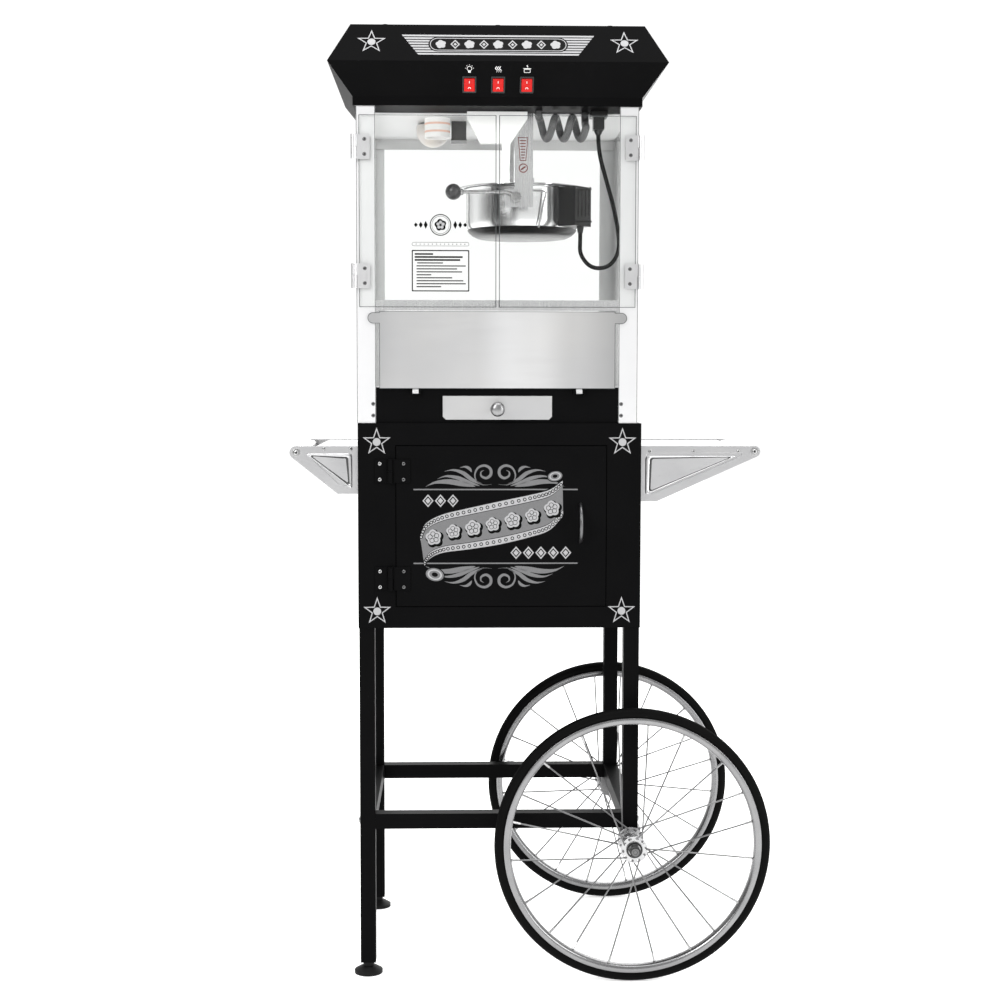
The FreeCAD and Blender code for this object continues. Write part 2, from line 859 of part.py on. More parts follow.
def make_shelf(side, hand):
    front = bracket(f"bracket_{hand}_front", side, hand, True)
    rear = bracket(f"bracket_{hand}_rear", side, hand, False)
    keep(together("brackets_" + hand, front, rear), "brackets_" + hand)
    near = "(cabinet_width / 2 + bracket_plate)"
    far = f"{hand}_shelf"
    left, right = f"cart_x + {near}", f"cart_x + {far}"
    if side < 0:
        left, right = f"cart_x - {far}", f"cart_x - {near}"
    half = "(bracket_span / 2 - bracket_plate)"
    outer_low = (left, f"-{half}", "shelf_top - shelf_lip")
    outer = block(f"{hand}_shelf_outer", outer_low, (right, half, "shelf_top"))
    inner_low = (f"{left} + shelf_sheet", f"-{half} + shelf_sheet", f"shelf_top - shelf_lip - {PAST}")
    inner_high = (f"{right} - shelf_sheet", f"{half} - shelf_sheet", "shelf_top - shelf_sheet")
    inner = block(f"{hand}_shelf_inner", inner_low, inner_high)
    keep(cut(hand + "_shelf_tray", outer, inner), "shelf_" + hand)


def make_bar(label, side, hand):
    half = "(bracket_span / 2 - bracket_plate)"
    at = (f"cart_x + {side} * {hand}_tip", f"-{half}", f"{hand}_tip_up")
    keep(rod(label, at, hand + "_bar", f"2 * {half}", "Y"), label)


# --- popper body ----------------------------------------------------------

def make_base():
    half = "(popper_half - post_sheet)"
    skin = "base_sheet"
    outer = block(
        "base_outer",
        (f"popper_x - {half}", f"-{BASE_FRONT}", "cabinet_top"),
        (f"popper_x + {half}", BASE_FRONT, "base_top"),
    )
    inner = block(
        "base_inner",
        (f"popper_x - {half} + {skin}", f"-{BASE_FRONT} + {skin}", f"cabinet_top + {skin}"),
        (f"popper_x + {half} - {skin}", f"{BASE_FRONT} - {skin}", f"base_top + {PAST}"),
    )
    mouth = block(
        "drawer_mouth",
        ("popper_x - tray_half - mouth_gap_x", f"-{BASE_FRONT} - {PAST}", "tray_low - mouth_gap_z"),
        ("popper_x + tray_half + mouth_gap_x", f"-{BASE_FRONT} + {PAST}", "tray_up + mouth_gap_z"),
    )
    shell = cut("base_shell", outer, inner, mouth)
    clips = []
    for side in (-1, 1):
        middle = f"(popper_x + {side} * clip_x)"
        for cheek in (-1, 1):
            start = f"({middle} + {cheek} * clip_cheek_x - clip_cheek / 2)"
            low = (start, "-flap_pin_y - clip_out", "flap_pin_up - clip_tall")
            high = (f"{start} + clip_cheek", f"-{BASE_FRONT} + {skin}", "flap_pin_up + clip_tall")
            clips.append(block("clip_cheek", low, high))
        pin_at = (f"{middle} - clip_pin_half", "-flap_pin_y", "flap_pin_up")
        clips.append(rod("clip_pin", pin_at, "flap_pin", "2 * clip_pin_half", "X"))
    keep(fuse("popper_base", shell, *clips), "popper_base")


def make_drawer():
    face_y = f"(-{BASE_FRONT} - 0.5)"
    notch = "drawer_notch"
    face_points = [
        ("-drawer_half", "drawer_up"),
        ("drawer_half", "drawer_up"),
        ("drawer_half", f"drawer_low + {notch}"),
        (f"drawer_half - {notch}", "drawer_low"),
        (f"-drawer_half + {notch}", "drawer_low"),
        ("-drawer_half", f"drawer_low + {notch}"),
    ]
    face = place(slab("drawer_face", "XZ_Plane", face_points, "post_sheet"), "popper_x", face_y)
    tray_out = block(
        "tray_outer",
        ("popper_x - tray_half", face_y, "tray_low"),
        ("popper_x + tray_half", f"{face_y} + tray_deep", "tray_up"),
    )
    tray_in = block(
        "tray_inner",
        ("popper_x - tray_half + tray_sheet", f"{face_y} + tray_sheet", "tray_low + tray_sheet"),
        ("popper_x + tray_half - tray_sheet", f"{face_y} + tray_deep - tray_sheet", f"tray_up + {PAST}"),
    )
    front = f"({face_y} - post_sheet)"
    knob_at = ("popper_x", f"{front} - knob_out", "knob_up")
    stem = rod("knob_stem", knob_at, "stem_radius", "knob_out + 1", "Y")
    knob = ball("knob_ball", knob_at, "knob_radius")
    keep(fuse("crumb_drawer", face, cut("tray", tray_out, tray_in), stem, knob), "crumb_drawer")


def make_floor():
    """Warming floor, sieved in its front part so that unpopped corn falls into the drawer."""
    half_x = "(popper_half - post_sheet - 0.1)"
    half_y = f"({BASE_FRONT})"
    corners = [(f"-{half_x}", f"-{half_y}"), (half_x, f"-{half_y}"), (half_x, half_y), (f"-{half_x}", half_y)]
    part_body = slab("corn_floor", "XY_Plane", corners, "floor_sheet")
    hole = sketch_on(part_body, "XY_Plane", "hole")
    add_circle(hole, ("-4 * sieve_pitch", "-6 * sieve_pitch"), "sieve_hole")
    drilled = pocket(part_body, hole, "4 * floor_sheet", both=True)
    doc.recompute()
    grid = part_body.newObject("PartDesign::MultiTransform", "sieve_grid")
    grid.Originals = [drilled]
    rows = []
    for axis, count in (("H_Axis", 9), ("V_Axis", 5)):
        row = part_body.newObject("PartDesign::LinearPattern", "sieve_row")
        row.Direction = (hole, [axis])
        row.Occurrences = count
        bind(row, "Length", f"{count - 1} * sieve_pitch")
        rows.append(row)
    grid.Transformations = rows
    part_body.Tip = grid
    keep(place(part_body, "popper_x", "0", "base_top"), "corn_floor")


def post(name, side, depth):
    """Corner post: an angle of sheet with its corner outward."""
    arm = "post_side"
    wall = "post_sheet"
    corner = [("0", "0"), (arm, "0"), (arm, wall), (wall, wall), (wall, arm), ("0", arm)]
    points = [(f"{-side} * ({x})", f"{-depth} * ({y})") for x, y in corner]
    part_body = slab(name, "XY_Plane", points, "ceiling - cabinet_top")
    return place(part_body, f"popper_x + {side} * popper_half", f"{depth} * popper_deep", "cabinet_top")


def make_glazing():
    side_out = "(popper_half - post_sheet - 0.1)"
    panes = []
    for side in (-1, 1):
        if side > 0:
            low, high = f"popper_x + {side_out} - glass", f"popper_x + {side_out}"
        else:
            low, high = f"popper_x - {side_out}", f"popper_x - {side_out} + glass"
        panes.append(block("side_pane", (low, f"-{BASE_FRONT}", FLOOR_TOP), (high, BASE_FRONT, "ceiling")))
    keep(together("glass_sides", *panes), "glass_sides")
    inside = f"({side_out} - glass)"
    back = block(
        "glass_rear",
        (f"popper_x - {inside}", f"{BASE_FRONT} - glass", FLOOR_TOP),
        (f"popper_x + {inside}", BASE_FRONT, "back_glass_top"),
    )
    keep(back, "glass_rear")
    strip = block(
        "ceiling_strip",
        (f"popper_x - {inside}", f"{BASE_FRONT} - glass", "back_glass_top"),
        (f"popper_x + {inside}", BASE_FRONT, "ceiling"),
    )
    sheet_low = (f"popper_x - {inside}", "-ceiling_front", CEILING_LOW)
    plate = block("ceiling_sheet", sheet_low, (f"popper_x + {inside}", BASE_FRONT, "ceiling"))
    box_low = ("popper_x - junction_left", "-junction_deep", "junction_low")
    box = block("junction_box", box_low, ("popper_x - junction_right", "0", "ceiling"))
    keep(fuse("ceiling_panel", strip, plate, box), "ceiling_panel")
    rail_low = (f"popper_x - {inside}", f"-{BASE_FRONT}", "rail_low")
    rail_high = (f"popper_x + {inside}", f"-{BASE_FRONT} + door_rail_deep", "rail_up")
    keep(block("door_rail", rail_low, rail_high), "door_rail")


# --- clear front doors ----------------------------------------------------

def make_front_doors():
    fixed_leaves = []
    pane_back = "(-popper_deep - pane_gap)"
    pane_front = f"({pane_back} - pane_thick)"
    clear = "(door_knuckle + 0.5)"
    tall = "door_leaf_tall"
    for side, hand in ((-1, "left"), (1, "right")):
        if side < 0:
            pane_low, pane_high = "popper_x - pane_edge", "popper_x - pane_split"
        else:
            pane_low, pane_high = "popper_x + pane_split", "popper_x + pane_edge"
        low_corner = (pane_low, pane_front, "pane_bottom")
        pane = block(f"pane_{hand}", low_corner, (pane_high, pane_back, "pane_top"))
        keep(pane, "glass_door_" + hand)
        pin_x = f"(popper_x + {side} * pin_x)"
        leaves = []
        for place_name, low in (("low", "door_leaf_low"), ("up", "door_leaf_up")):
            name = f"{hand}_{place_name}"
            middle = f"({low} + {tall} / 2)"
            post_face = f"(popper_x + {side} * popper_half)"
            if side < 0:
                plate_x = (f"{post_face} - leaf_thick", post_face)
                leaf_x = (f"{pin_x} + {clear}", f"{pin_x} + door_leaf_width")
                bridge_x = (pin_x, f"{pin_x} + {clear}")
            else:
                plate_x = (post_face, f"{post_face} + leaf_thick")
                leaf_x = (f"{pin_x} - door_leaf_width", f"{pin_x} - {clear}")
                bridge_x = (f"{pin_x} - {clear}", pin_x)
            plate_low = (plate_x[0], f"-pin_y + {clear}", low)
            plate = block(name + "_side", plate_low, (plate_x[1], "-pin_y + leaf_back", f"{low} + {tall}"))
            neck_high = (plate_x[1], f"-pin_y + {clear}", f"{middle} - leaf_gap")
            neck = block(name + "_neck", (plate_x[0], "-pin_y", low), neck_high)
            leaf_low = (leaf_x[0], f"{pane_front} - leaf_thick", low)
            leaf = block(name + "_leaf", leaf_low, (leaf_x[1], pane_front, f"{low} + {tall}"))
            bridge_low = (bridge_x[0], f"{pane_front} - leaf_thick", f"{middle} + leaf_gap")
            bridge = block(name + "_bridge", bridge_low, (bridge_x[1], pane_front, f"{low} + {tall}"))
            fixed, moving = hinge(
                name + "_hinge",
                (pin_x, "-pin_y"),
                low,
                tall,
                "door_knuckle",
                "door_pin",
                (plate, neck),
                (leaf, bridge),
            )
            fixed_leaves.append(fixed)
            leaves.append(moving)
        keep(together(f"{hand}_leaves", *leaves), f"{hand}_door_leaves")
    keep(together("post_leaves", *fixed_leaves), "post_hinge_leaves")


# --- serving flap ---------------------------------------------------------

def make_flap():
    back = "(-flap_front + flap_sheet)"
    pieces = [block(
        "flap_plate",
        ("popper_x - flap_half", "-flap_front", "flap_low"),
        ("popper_x + flap_half", back, "flap_up"),
    )]
    ear_high = "ear_low + 2 * ear_round"
    strip_low = ("popper_x - ear_half + ear_round", "-flap_front", "ear_low")
    pieces.append(block("ear_strip", strip_low, ("popper_x + ear_half - ear_round", back, ear_high)))
    for side in (-1, 1):
        end_at = (f"popper_x + {side} * (ear_half - ear_round)", "-flap_front", "ear_low + ear_round")
        pieces.append(rod("ear_end", end_at, "ear_round", "flap_sheet", "Y"))
        edge = f"(popper_x + {side} * (flap_half - flap_sheet / 2))"
        return_low = (f"{edge} - flap_sheet / 2", back, "flap_low + 8")
        return_high = (f"{edge} + flap_sheet / 2", f"{back} + flap_return", "rail_low - 8")
        pieces.append(block("flap_side", return_low, return_high))
        tab_left = f"(popper_x + {side} * clip_x - flap_tab_half)"
        tab_right = f"({tab_left} + 2 * flap_tab_half)"
        tab_low = (tab_left, "-flap_front", "flap_pin_up")
        pieces.append(block("flap_tab", tab_low, (tab_right, back, "flap_low + 6")))
        roll_at = (tab_left, "-flap_pin_y", "flap_pin_up")
        pieces.append(rod("flap_roll", roll_at, "flap_knuckle", "2 * flap_tab_half", "X"))
    bores = []
    for side in (-1, 1):
        at = (f"popper_x + {side} * clip_x - 2 * flap_tab_half", "-flap_pin_y", "flap_pin_up")
        bores.append(rod("flap_bore", at, "flap_pin + run_gap", "4 * flap_tab_half", "X"))
    keep(cut("serving_flap", fuse("flap_solid", *pieces), *bores), "serving_flap")


# --- sign housing and its switches ----------------------------------------

def rectangle(x, y):
    return [(f"-({x})", f"-({y})"), (x, f"-({y})"), (x, y), (f"-({x})", y)]


def sign_body(name, less, low, high):
    """The housing's outline: a straight trim and two sloping bands that meet at its widest edge."""
    part_body = body(name)
    levels = [
        (low, f"trim_x - {less}", f"trim_y - {less}"),
        ("trim_up", f"trim_x - {less}", f"trim_y - {less}"),
        ("sign_middle", f"trim_x + sign_out - {less}", f"trim_y + sign_out - {less}"),
        (high, f"roof_x - {less}", f"roof_y - {less}"),
    ]
    sections = []
    for index, (height, x, y) in enumerate(levels):
        section = sketch_on(part_body, "XY_Plane", f"level_{index}")
        bind(section, "AttachmentOffset.Base.z", height)
        add_loop(section, rectangle(x, y))
        sections.append(section)
    doc.recompute()
    loft = part_body.newObject("PartDesign::AdditiveLoft", name + "_loft")
    loft.Profile = sections[0]
    loft.Sections = sections[1:]
    loft.Ruled = True
    return place(part_body, "popper_x")


# The front's lower band leans out by this angle; its outward normal is -Y turned down by it.
SLOPE_DEGREES = math.degrees(math.atan2(size("sign_out"), size("sign_middle") - size("trim_up")))
SLOPE = Rotation(Vector(1, 0, 0), SLOPE_DEGREES)
SINE = f"sin({SLOPE_DEGREES:.4f})"
COSINE = f"cos({SLOPE_DEGREES:.4f})"
ROCKER_Y = "(-trim_y - sign_out * (rocker_up - trim_up) / (sign_middle - trim_up))"


def make_sign():
    outer = sign_body("sign_outer", "0", "ceiling", "sign_top")
    inner = sign_body("sign_inner", "sign_sheet", "ceiling + sign_sheet", "sign_top - sign_sheet")
    windows = []
    for index in (-1, 0, 1):
        window = doc.addObject("Part::Box", "rocker_window")
        bind(window, "Length", "2 * (rocker_half + window_gap)")
        bind(window, "Width", "window_deep")
        bind(window, "Height", "2 * (rocker_tall + 1)")
        lift = "(rocker_tall + 1)"
        back = "(window_deep / 2)"
        place(
            window,
            f"popper_x + {index} * rocker_pitch - rocker_half - window_gap",
            f"{ROCKER_Y} - {back} * {COSINE} + {lift} * {SINE}",
            f"rocker_up - {back} * {SINE} - {lift} * {COSINE}",
            turn=SLOPE,
        )
        windows.append(window)
    screws = []
    for side in (-1, 0, 1):
        for depth in (-1, 1):
            at = (f"popper_x + {side} * roof_screw_x", f"{depth} * (roof_y - roof_screw_in)", "sign_top")
            screws.append(rod("roof_screw", at, "roof_screw_radius", "roof_screw_tall"))
    gland_at = ("popper_x - gland_x", "trim_y - 1", "(ceiling + trim_up) / 2")
    gland = rod("mains_gland", gland_at, "gland_radius", "gland_long", "Y")
    keep(fuse("marquee", cut("sign_shell", outer, inner, *windows), *screws, gland), "marquee")


def rocker(label, index):
    """Rocker button with a shallow V face, on two short trunnions, tilted to its off side.

    Its own -Y is outward.
    """
    points = [
        ("rocker_back", "-rocker_tall"),
        ("rocker_back", "rocker_tall"),
        ("-rocker_pivot - rocker_nose", "rocker_tall"),
        ("-rocker_pivot - rocker_valley", "0"),
        ("-rocker_pivot - rocker_nose", "-rocker_tall"),
    ]
    button = slab(label + "_button", "YZ_Plane", points, "2 * rocker_half", both=True)
    middle = f"(popper_x + {index} * rocker_pitch)"
    pivot = (f"{ROCKER_Y} + rocker_pivot * {COSINE}", f"rocker_up + rocker_pivot * {SINE}")
    place(button, middle, *pivot, turn=Rotation(Vector(1, 0, 0), SLOPE_DEGREES - size("rocker_tilt")))
    half = "(rocker_half + trunnion_out)"
    trunnion = rod(label + "_trunnion", (f"{middle} - {half}", *pivot), "trunnion_radius", f"2 * {half}", "X")
    keep(fuse(label + "_solid", button, trunnion), label)


# --- kettle and what carries it -------------------------------------------

def make_hangers():
    hangers = []
    left = "(popper_x + hanger_left)"
    right = f"({left} + hanger_wide)"
    skin = "base_sheet"
    for depth in (-1, 1):
        if depth < 0:
            web_y = ("-hanger_y", f"-hanger_y + {skin}")
            flange_y = ("-hanger_y", "-hanger_y + hanger_deep")
        else:
            web_y = (f"hanger_y - {skin}", "hanger_y")
            flange_y = ("hanger_y - hanger_deep", "hanger_y")
        web = block("hanger_web", (left, web_y[0], "hanger_low"), (right, web_y[1], CEILING_LOW))
        wings = []
        for wing_left, wing_right in ((left, f"{left} + {skin}"), (f"{right} - {skin}", right)):
            wing_low = (wing_left, flange_y[0], "hook_up")
            wings.append(block("hanger_wing", wing_low, (wing_right, flange_y[1], CEILING_LOW)))
        hook_low = ("popper_x + hook_left", web_y[0], "hanger_low")
        hook = block("hook_plate", hook_low, (left, web_y[1], "hook_up"))
        eye_at = ("popper_x + pivot_x", f"{web_y[0]} - 1", "pivot_up")
        eye = rod("pivot_eye", eye_at, "pivot_radius + run_gap", str(PAST), "Y")
        hangers.append(cut("hanger", fuse("hanger_solid", web, hook, *wings), eye))
    keep(together("kettle_hangers", *hangers), "kettle_hangers")


def make_shroud():
    """Folded cover under the motor: a funnel that narrows to a tapered strip beside the hanger."""
    points = [
        ("-shroud_left", CEILING_LOW),
        ("shroud_right", CEILING_LOW),
        ("shroud_right", "ceiling - shroud_lip"),
        ("shroud_waist_right", "ceiling - shroud_waist"),
        ("shroud_tip_right", "ceiling - shroud_tip"),
        ("shroud_tip_left", "ceiling - shroud_tip"),
        ("shroud_strip_left", "ceiling - shroud_waist"),
        ("-shroud_waist_left", "ceiling - shroud_waist"),
        ("-shroud_left", "ceiling - shroud_lip"),
    ]
    part_body = slab("motor_shroud", "XZ_Plane", points, "shroud_thick")
    keep(place(part_body, "popper_x", "-hanger_y - shroud_gap"), "motor_shroud")


def make_kettle():
    wall = "kettle_wall"
    low = "kettle_low"
    profile = [
        ("0", low),
        ("kettle_radius - kettle_corner", low),
        ("kettle_radius - kettle_corner * 0.29", f"{low} + kettle_corner * 0.29"),
        ("kettle_radius", f"{low} + kettle_corner"),
        ("kettle_radius", "kettle_up - pan_rim_tall"),
        ("kettle_radius + pan_rim", "kettle_up - pan_rim_tall / 2"),
        ("kettle_radius + pan_rim", "kettle_up"),
        (f"kettle_radius - {wall}", "kettle_up"),
        (f"kettle_radius - {wall}", f"{low} + kettle_corner"),
        (f"kettle_radius - kettle_corner * 0.29 - {wall}", f"{low} + kettle_corner * 0.29 + {wall}"),
        ("kettle_radius - kettle_corner", f"{low} + 2 * {wall}"),
        ("0", f"{low} + 2 * {wall}"),
    ]
    pan = place(turned("pan_bowl", profile), "popper_x + kettle_x")
    wall_y = "(kettle_radius - 1)"
    pin_length = f"(hanger_y + pin_end - {wall_y})"
    pins = []
    for pin_start in ("-hanger_y - pin_end", wall_y):
        pin_at = ("popper_x + pivot_x", pin_start, "pivot_up")
        pins.append(rod("pivot_pin", pin_at, "pivot_radius", pin_length, "Y"))
    room_at = ("popper_x + kettle_x", "0", "kettle_low + kettle_corner")
    room_tall = f"kettle_up - kettle_low - kettle_corner + {PAST}"
    room = rod("pan_room", room_at, f"kettle_radius - {wall}", room_tall)
    keep(cut("kettle_pan", fuse("pan_solid", pan, *pins), room), "kettle_pan")


def lid_dome(name):
    """Shallow cone with a flat rim; its two halves are cut from it."""
    rim_low = "kettle_up + lid_seat"
    sheet_up = "lid_sheet"
    profile = [
        ("stirrer_radius + lid_hole_gap", f"{rim_low} + lid_rise"),
        ("lid_radius - lid_brim", rim_low),
        ("lid_radius", rim_low),
        ("lid_radius", f"{rim_low} + {sheet_up}"),
        ("lid_radius - lid_brim", f"{rim_low} + {sheet_up}"),
        ("stirrer_radius + lid_hole_gap", f"{rim_low} + lid_rise + {sheet_up}"),
    ]
    return place(turned(name, profile), "popper_x + kettle_x")


def lid_lugs(name, line, side, inner):
    """Two raised lugs with rolled eyes on the lid's hinge line, one on each side of the stirrer."""
    pieces = []
    for depth in (-1, 1):
        start = inner if depth > 0 else f"(-({inner}) - lid_lug_long)"
        near = f"({line} + {side} * lid_gap)"
        far = f"({line} + {side} * 2 * lid_knuckle)"
        left, right = (near, far) if side > 0 else (far, near)
        web_low = (left, start, "kettle_up + lug_low")
        web_high = (right, f"{start} + lid_lug_long", "lid_axis_up")
        pieces.append(block(name + "_web", web_low, web_high))
        pieces.append(rod(name + "_eye", (line, start, "lid_axis_up"), "lid_knuckle", "lid_lug_long", "Y"))
    return pieces


def make_lid():
    line = "(popper_x + kettle_x + lid_split)"
    far = "2 * lid_radius"
    low = f"kettle_up - {PAST}"
    high = "kettle_up + 2 * lid_rise"
    right_half = block("lid_right_side", (line, f"-{far}", low), (f"{line} + {far}", far, high))
    fixed = doc.addObject("Part::Common", "lid_fixed")
    fixed.Base = lid_dome("lid_dome_fixed")
    fixed.Tool = right_half
    outer_lug = "(lid_lug_y + lid_lug_long + lug_gap)"
    pins = []
    for depth in (-1, 1):
        start = "lid_lug_y" if depth > 0 else f"-{outer_lug} - lid_lug_long"
        pin_at = (line, start, "lid_axis_up")
        pins.append(rod("lid_pin", pin_at, "lid_pin", "2 * lid_lug_long + lug_gap", "Y"))
    fixed_lugs = lid_lugs("fixed_lug", line, 1, outer_lug)
    keep(fuse("lid_fixed_solid", fixed, *fixed_lugs, *pins), "kettle_lid")
    slot_low = ("popper_x + kettle_x - lid_slot_reach", "-lid_slot_half", low)
    slot = block("lid_slot", slot_low, (line, "lid_slot_half", high))
    gap_low = (f"{line} - lid_gap", f"-{far}", low)
    gap = block("lid_right_cut", gap_low, (f"{line} + {far}", far, high))
    half = cut("lid_flap_sheet", lid_dome("lid_dome_flap"), gap, slot)
    bore = rod("lid_bore", (line, "-lid_radius", "lid_axis_up"), "lid_pin + run_gap", "2 * lid_radius", "Y")
    solid = fuse("lid_flap_solid", half, *lid_lugs("flap_lug", line, -1, "lid_lug_y"))
    keep(cut("lid_flap", solid, bore), "lid_flap")


def rounded_path(points):
    """Straight runs joined by tangent arcs."""
    edges = []
    start = points[0]
    for before, corner, after in zip(points, points[1:], points[2:]):
        back = before - corner
        ahead = after - corner
        turn = math.pi - back.getAngle(ahead)
        run = 0.45 * min(back.Length, ahead.Length)
        first = corner + back.normalize() * run
        last = corner + ahead.normalize() * run
        radius = run / math.tan(turn / 2)
        bisector = (back + ahead).normalize()
        centre = corner + bisector * (radius / math.cos(turn / 2))
        middle = centre - bisector * radius
        edges.append(Part.makeLine(start, first))
        edges.append(Part.Arc(first, middle, last).toShape())
        start = last
    edges.append(Part.makeLine(start, points[-1]))
    return Part.Wire(edges)


def tube_along(points, radius):
    """A round tube along straight runs joined by tangent arcs."""
    path = rounded_path(points)
    section = Part.Wire(Part.makeCircle(radius, points[0], points[1] - points[0]))
    return path.makePipeShell([section], True, True)


BAIL_CORNERS = [
    (16, -94, 1312),
    (17, -101, 1312),
    (37, -101.5, 1310),
    (24, -100, 1252),
    (24, -90, 1251),
]


def make_handle():
    """Dump handle: ball, rod and the boss on the pivot pin, with the wire bail on the pan's right."""
    middle = size("popper_x")
    y = -size("handle_y")
    boss_x = middle + size("pivot_x")
    ball_at = Vector(middle - size("handle_x"), y, size("handle_up"))
    bend = Vector(boss_x - size("handle_bend"), y, size("handle_up"))
    boss_at = Vector(boss_x, y, size("pivot_up"))
    boss_from = Vector(boss_x, y - size("handle_foot"), size("pivot_up"))
    boss_long = -size("hanger_y") - size("boss_gap") - boss_from.y
    shape = Part.makeSphere(size("handle_ball"), ball_at)
    shape = shape.fuse([
        tube_along([ball_at, bend, boss_at], size("handle_rod")),
        Part.makeCylinder(size("boss_radius"), boss_long, boss_from, Vector(0, 1, 0)),
    ])
    kettle_middle = middle + size("kettle_x")
    bail_line = [Vector(kettle_middle + x, depth, z) for x, depth, z in BAIL_CORNERS]
    bail = tube_along(bail_line, size("bail_wire"))
    wall_tall = size("kettle_up") - size("kettle_low")
    bowl = Part.makeCylinder(size("kettle_radius"), wall_tall, Vector(kettle_middle, 0, size("kettle_low")))
    feature = doc.addObject("Part::Feature", "dump_handle")
    feature.Shape = Part.makeCompound([shape, bail.cut(bowl)])
    keep(feature, "dump_handle")


def make_terminal_box():
    turn = Rotation(Vector(0, 0, 1), size("box_turn"))
    outer_low = ("kettle_radius - box_inset", "-box_half", "box_low")
    outer = block("box_outer", outer_low, ("box_out", "box_half", "box_up"))
    room_tall = f"box_up - box_low + 2 * {PAST}"
    room = rod("box_room", ("0", "0", f"box_low - {PAST}"), "kettle_radius", room_tall)
    rim_at = ("0", "0", "kettle_up - pan_rim_tall - 1")
    rim_room = rod("box_rim_room", rim_at, "kettle_radius + box_rim_gap", f"4 * {PAST}")
    shape = cut("terminal_box", outer, room, rim_room)
    shape.Placement = FreeCAD.Placement(Vector(0, 0, 0), turn)
    place(shape, "popper_x + kettle_x", "0", "0", turn=turn)
    keep(shape, "terminal_box")


def make_stirrer():
    """Stirrer: upright shaft with a drive dog above the lid and a sweep near the pan's floor."""
    x = "(popper_x + kettle_x)"
    low = "(kettle_low + blade_gap)"
    dog_at = (x, "0", "kettle_up + lid_rise + dog_up")
    shaft_tall = f"kettle_up + lid_rise + dog_up + dog_tall - {low}"
    shaft = rod("stir_shaft", (x, "0", low), "stirrer_radius", shaft_tall)
    dog = rod("stir_dog", dog_at, "stirrer_radius + dog_out", "dog_tall")
    reach = "(kettle_radius - kettle_corner)"
    blade_low = (f"{x} - {reach}", "-blade_half", low)
    blade = block("stir_blade", blade_low, (f"{x} + {reach}", "blade_half", f"{low} + blade_tall"))
    keep(fuse("agitator", shaft, dog, blade), "agitator")


# --- lamp and leads -------------------------------------------------------

def make_lamp():
    x = "(popper_x - lamp_x)"
    globe = ball("lamp_globe", (x, "-lamp_y", "lamp_low + lamp_radius"), "lamp_radius")
    far = "2 * lamp_radius"
    above_low = (f"{x} - {far}", f"-{far}", CEILING_LOW)
    above = block("lamp_above", above_low, (f"{x} + {far}", far, f"ceiling + {far}"))
    sleeve_at = (f"{x} + sleeve_right", "-sleeve_y", "sleeve_low")
    sleeve = rod("lamp_sleeve", sleeve_at, "sleeve_radius", f"{CEILING_LOW} - sleeve_low")
    keep(together("lamp", cut("lamp_bulb", globe, above), sleeve), "lamp")


def make_plug():
    x = "(popper_x + plug_x)"
    y = "(-plug_y)"
    socket_low = (f"{x} - socket_half_x", f"{y} - socket_half_y", "ceiling - socket_tall")
    socket = block("socket_block", socket_low, (f"{x} + socket_half_x", f"{y} + socket_half_y", "ceiling"))
    grip_low = (f"{x} - grip_half_x", f"{y} - grip_half_y", "plug_low + boot_tall")
    grip_high = (f"{x} + grip_half_x", f"{y} + grip_half_y", "ceiling - socket_tall")
    grip = block("plug_grip", grip_low, grip_high)
    boot = doc.addObject("Part::Cone", "plug_boot")
    bind(boot, "Radius1", "lead_radius + 1")
    bind(boot, "Radius2", "boot_top")
    bind(boot, "Height", "boot_tall")
    place(boot, x, y, "plug_low")
    keep(fuse("kettle_plug", socket, grip, boot), "kettle_plug")


# The kettle lead hangs from its plug in one loop and comes up under the terminal box.
# Its corners are relative to the popper's middle; each is rounded by a tangent arc.
LEAD_CORNERS = [
    (168, -140, 1399),
    (168, -140, 1374),
    (181, -133, 1330),
    (195, -124, 1286),
    (204, -116, 1246),
    (208, -108, 1212),
    (193, -99, 1185),
    (162, -92, 1182),
    (142, -87, 1206),
    (143, -84, 1231),
    (143, -84, 1254.6),
]


def make_lead():
    middle = size("popper_x")
    feature = doc.addObject("Part::Feature", "kettle_lead")
    feature.Shape = tube_along([Vector(middle + x, y, z) for x, y, z in LEAD_CORNERS], size("lead_radius"))
    keep(feature, "kettle_lead")


def make_curly_lead():
    """The curly lead between the hanger and the plug, as the one fat round that its coils fill."""
    start = "(popper_x + hanger_left + hanger_wide + 1)"
    length = f"(popper_x + plug_x - 15 - {start})"
    keep(rod("curly_lead", (start, "-coil_y", "coil_up"), "coil_radius", length, "X"), "curly_lead")


make_frame()
keep(together("feet", foot("foot_front", -1), foot("foot_rear", 1)), "levelling_feet")
make_axle()
axle_plates = [axle_bracket("bracket_fore", -1), axle_bracket("bracket_aft", 1)]
keep(together("axle_plates", *axle_plates), "axle_brackets")
for wheel_name, wheel_side in (("front", -1), ("rear", 1)):
    wheel(wheel_name, wheel_side)
make_cabinet()
make_cabinet_door()
make_cabinet_hinges()
make_shelf(-1, "left")
make_shelf(1, "right")
make_bar("push_handle", -1, "left")
make_bar("shelf_bar", 1, "right")
make_base()
make_drawer()
make_floor()
keep(post("post_front_left", -1, -1), "post_front_left")
keep(post("post_front_right", 1, -1), "post_front_right")
keep(together("back_posts", post("post_back_left", -1, 1), post("post_back_right", 1, 1)), "posts_rear")
make_glazing()
make_front_doors()
make_flap()
make_sign()
for rocker_index, rocker_name in ((-1, "left"), (0, "middle"), (1, "right")):
    rocker("rocker_" + rocker_name, rocker_index)
make_hangers()
make_shroud()
make_kettle()
make_lid()
make_handle()
make_terminal_box()
make_stirrer()
make_lamp()
make_plug()
make_lead()
make_curly_lead()
doc.recompute()

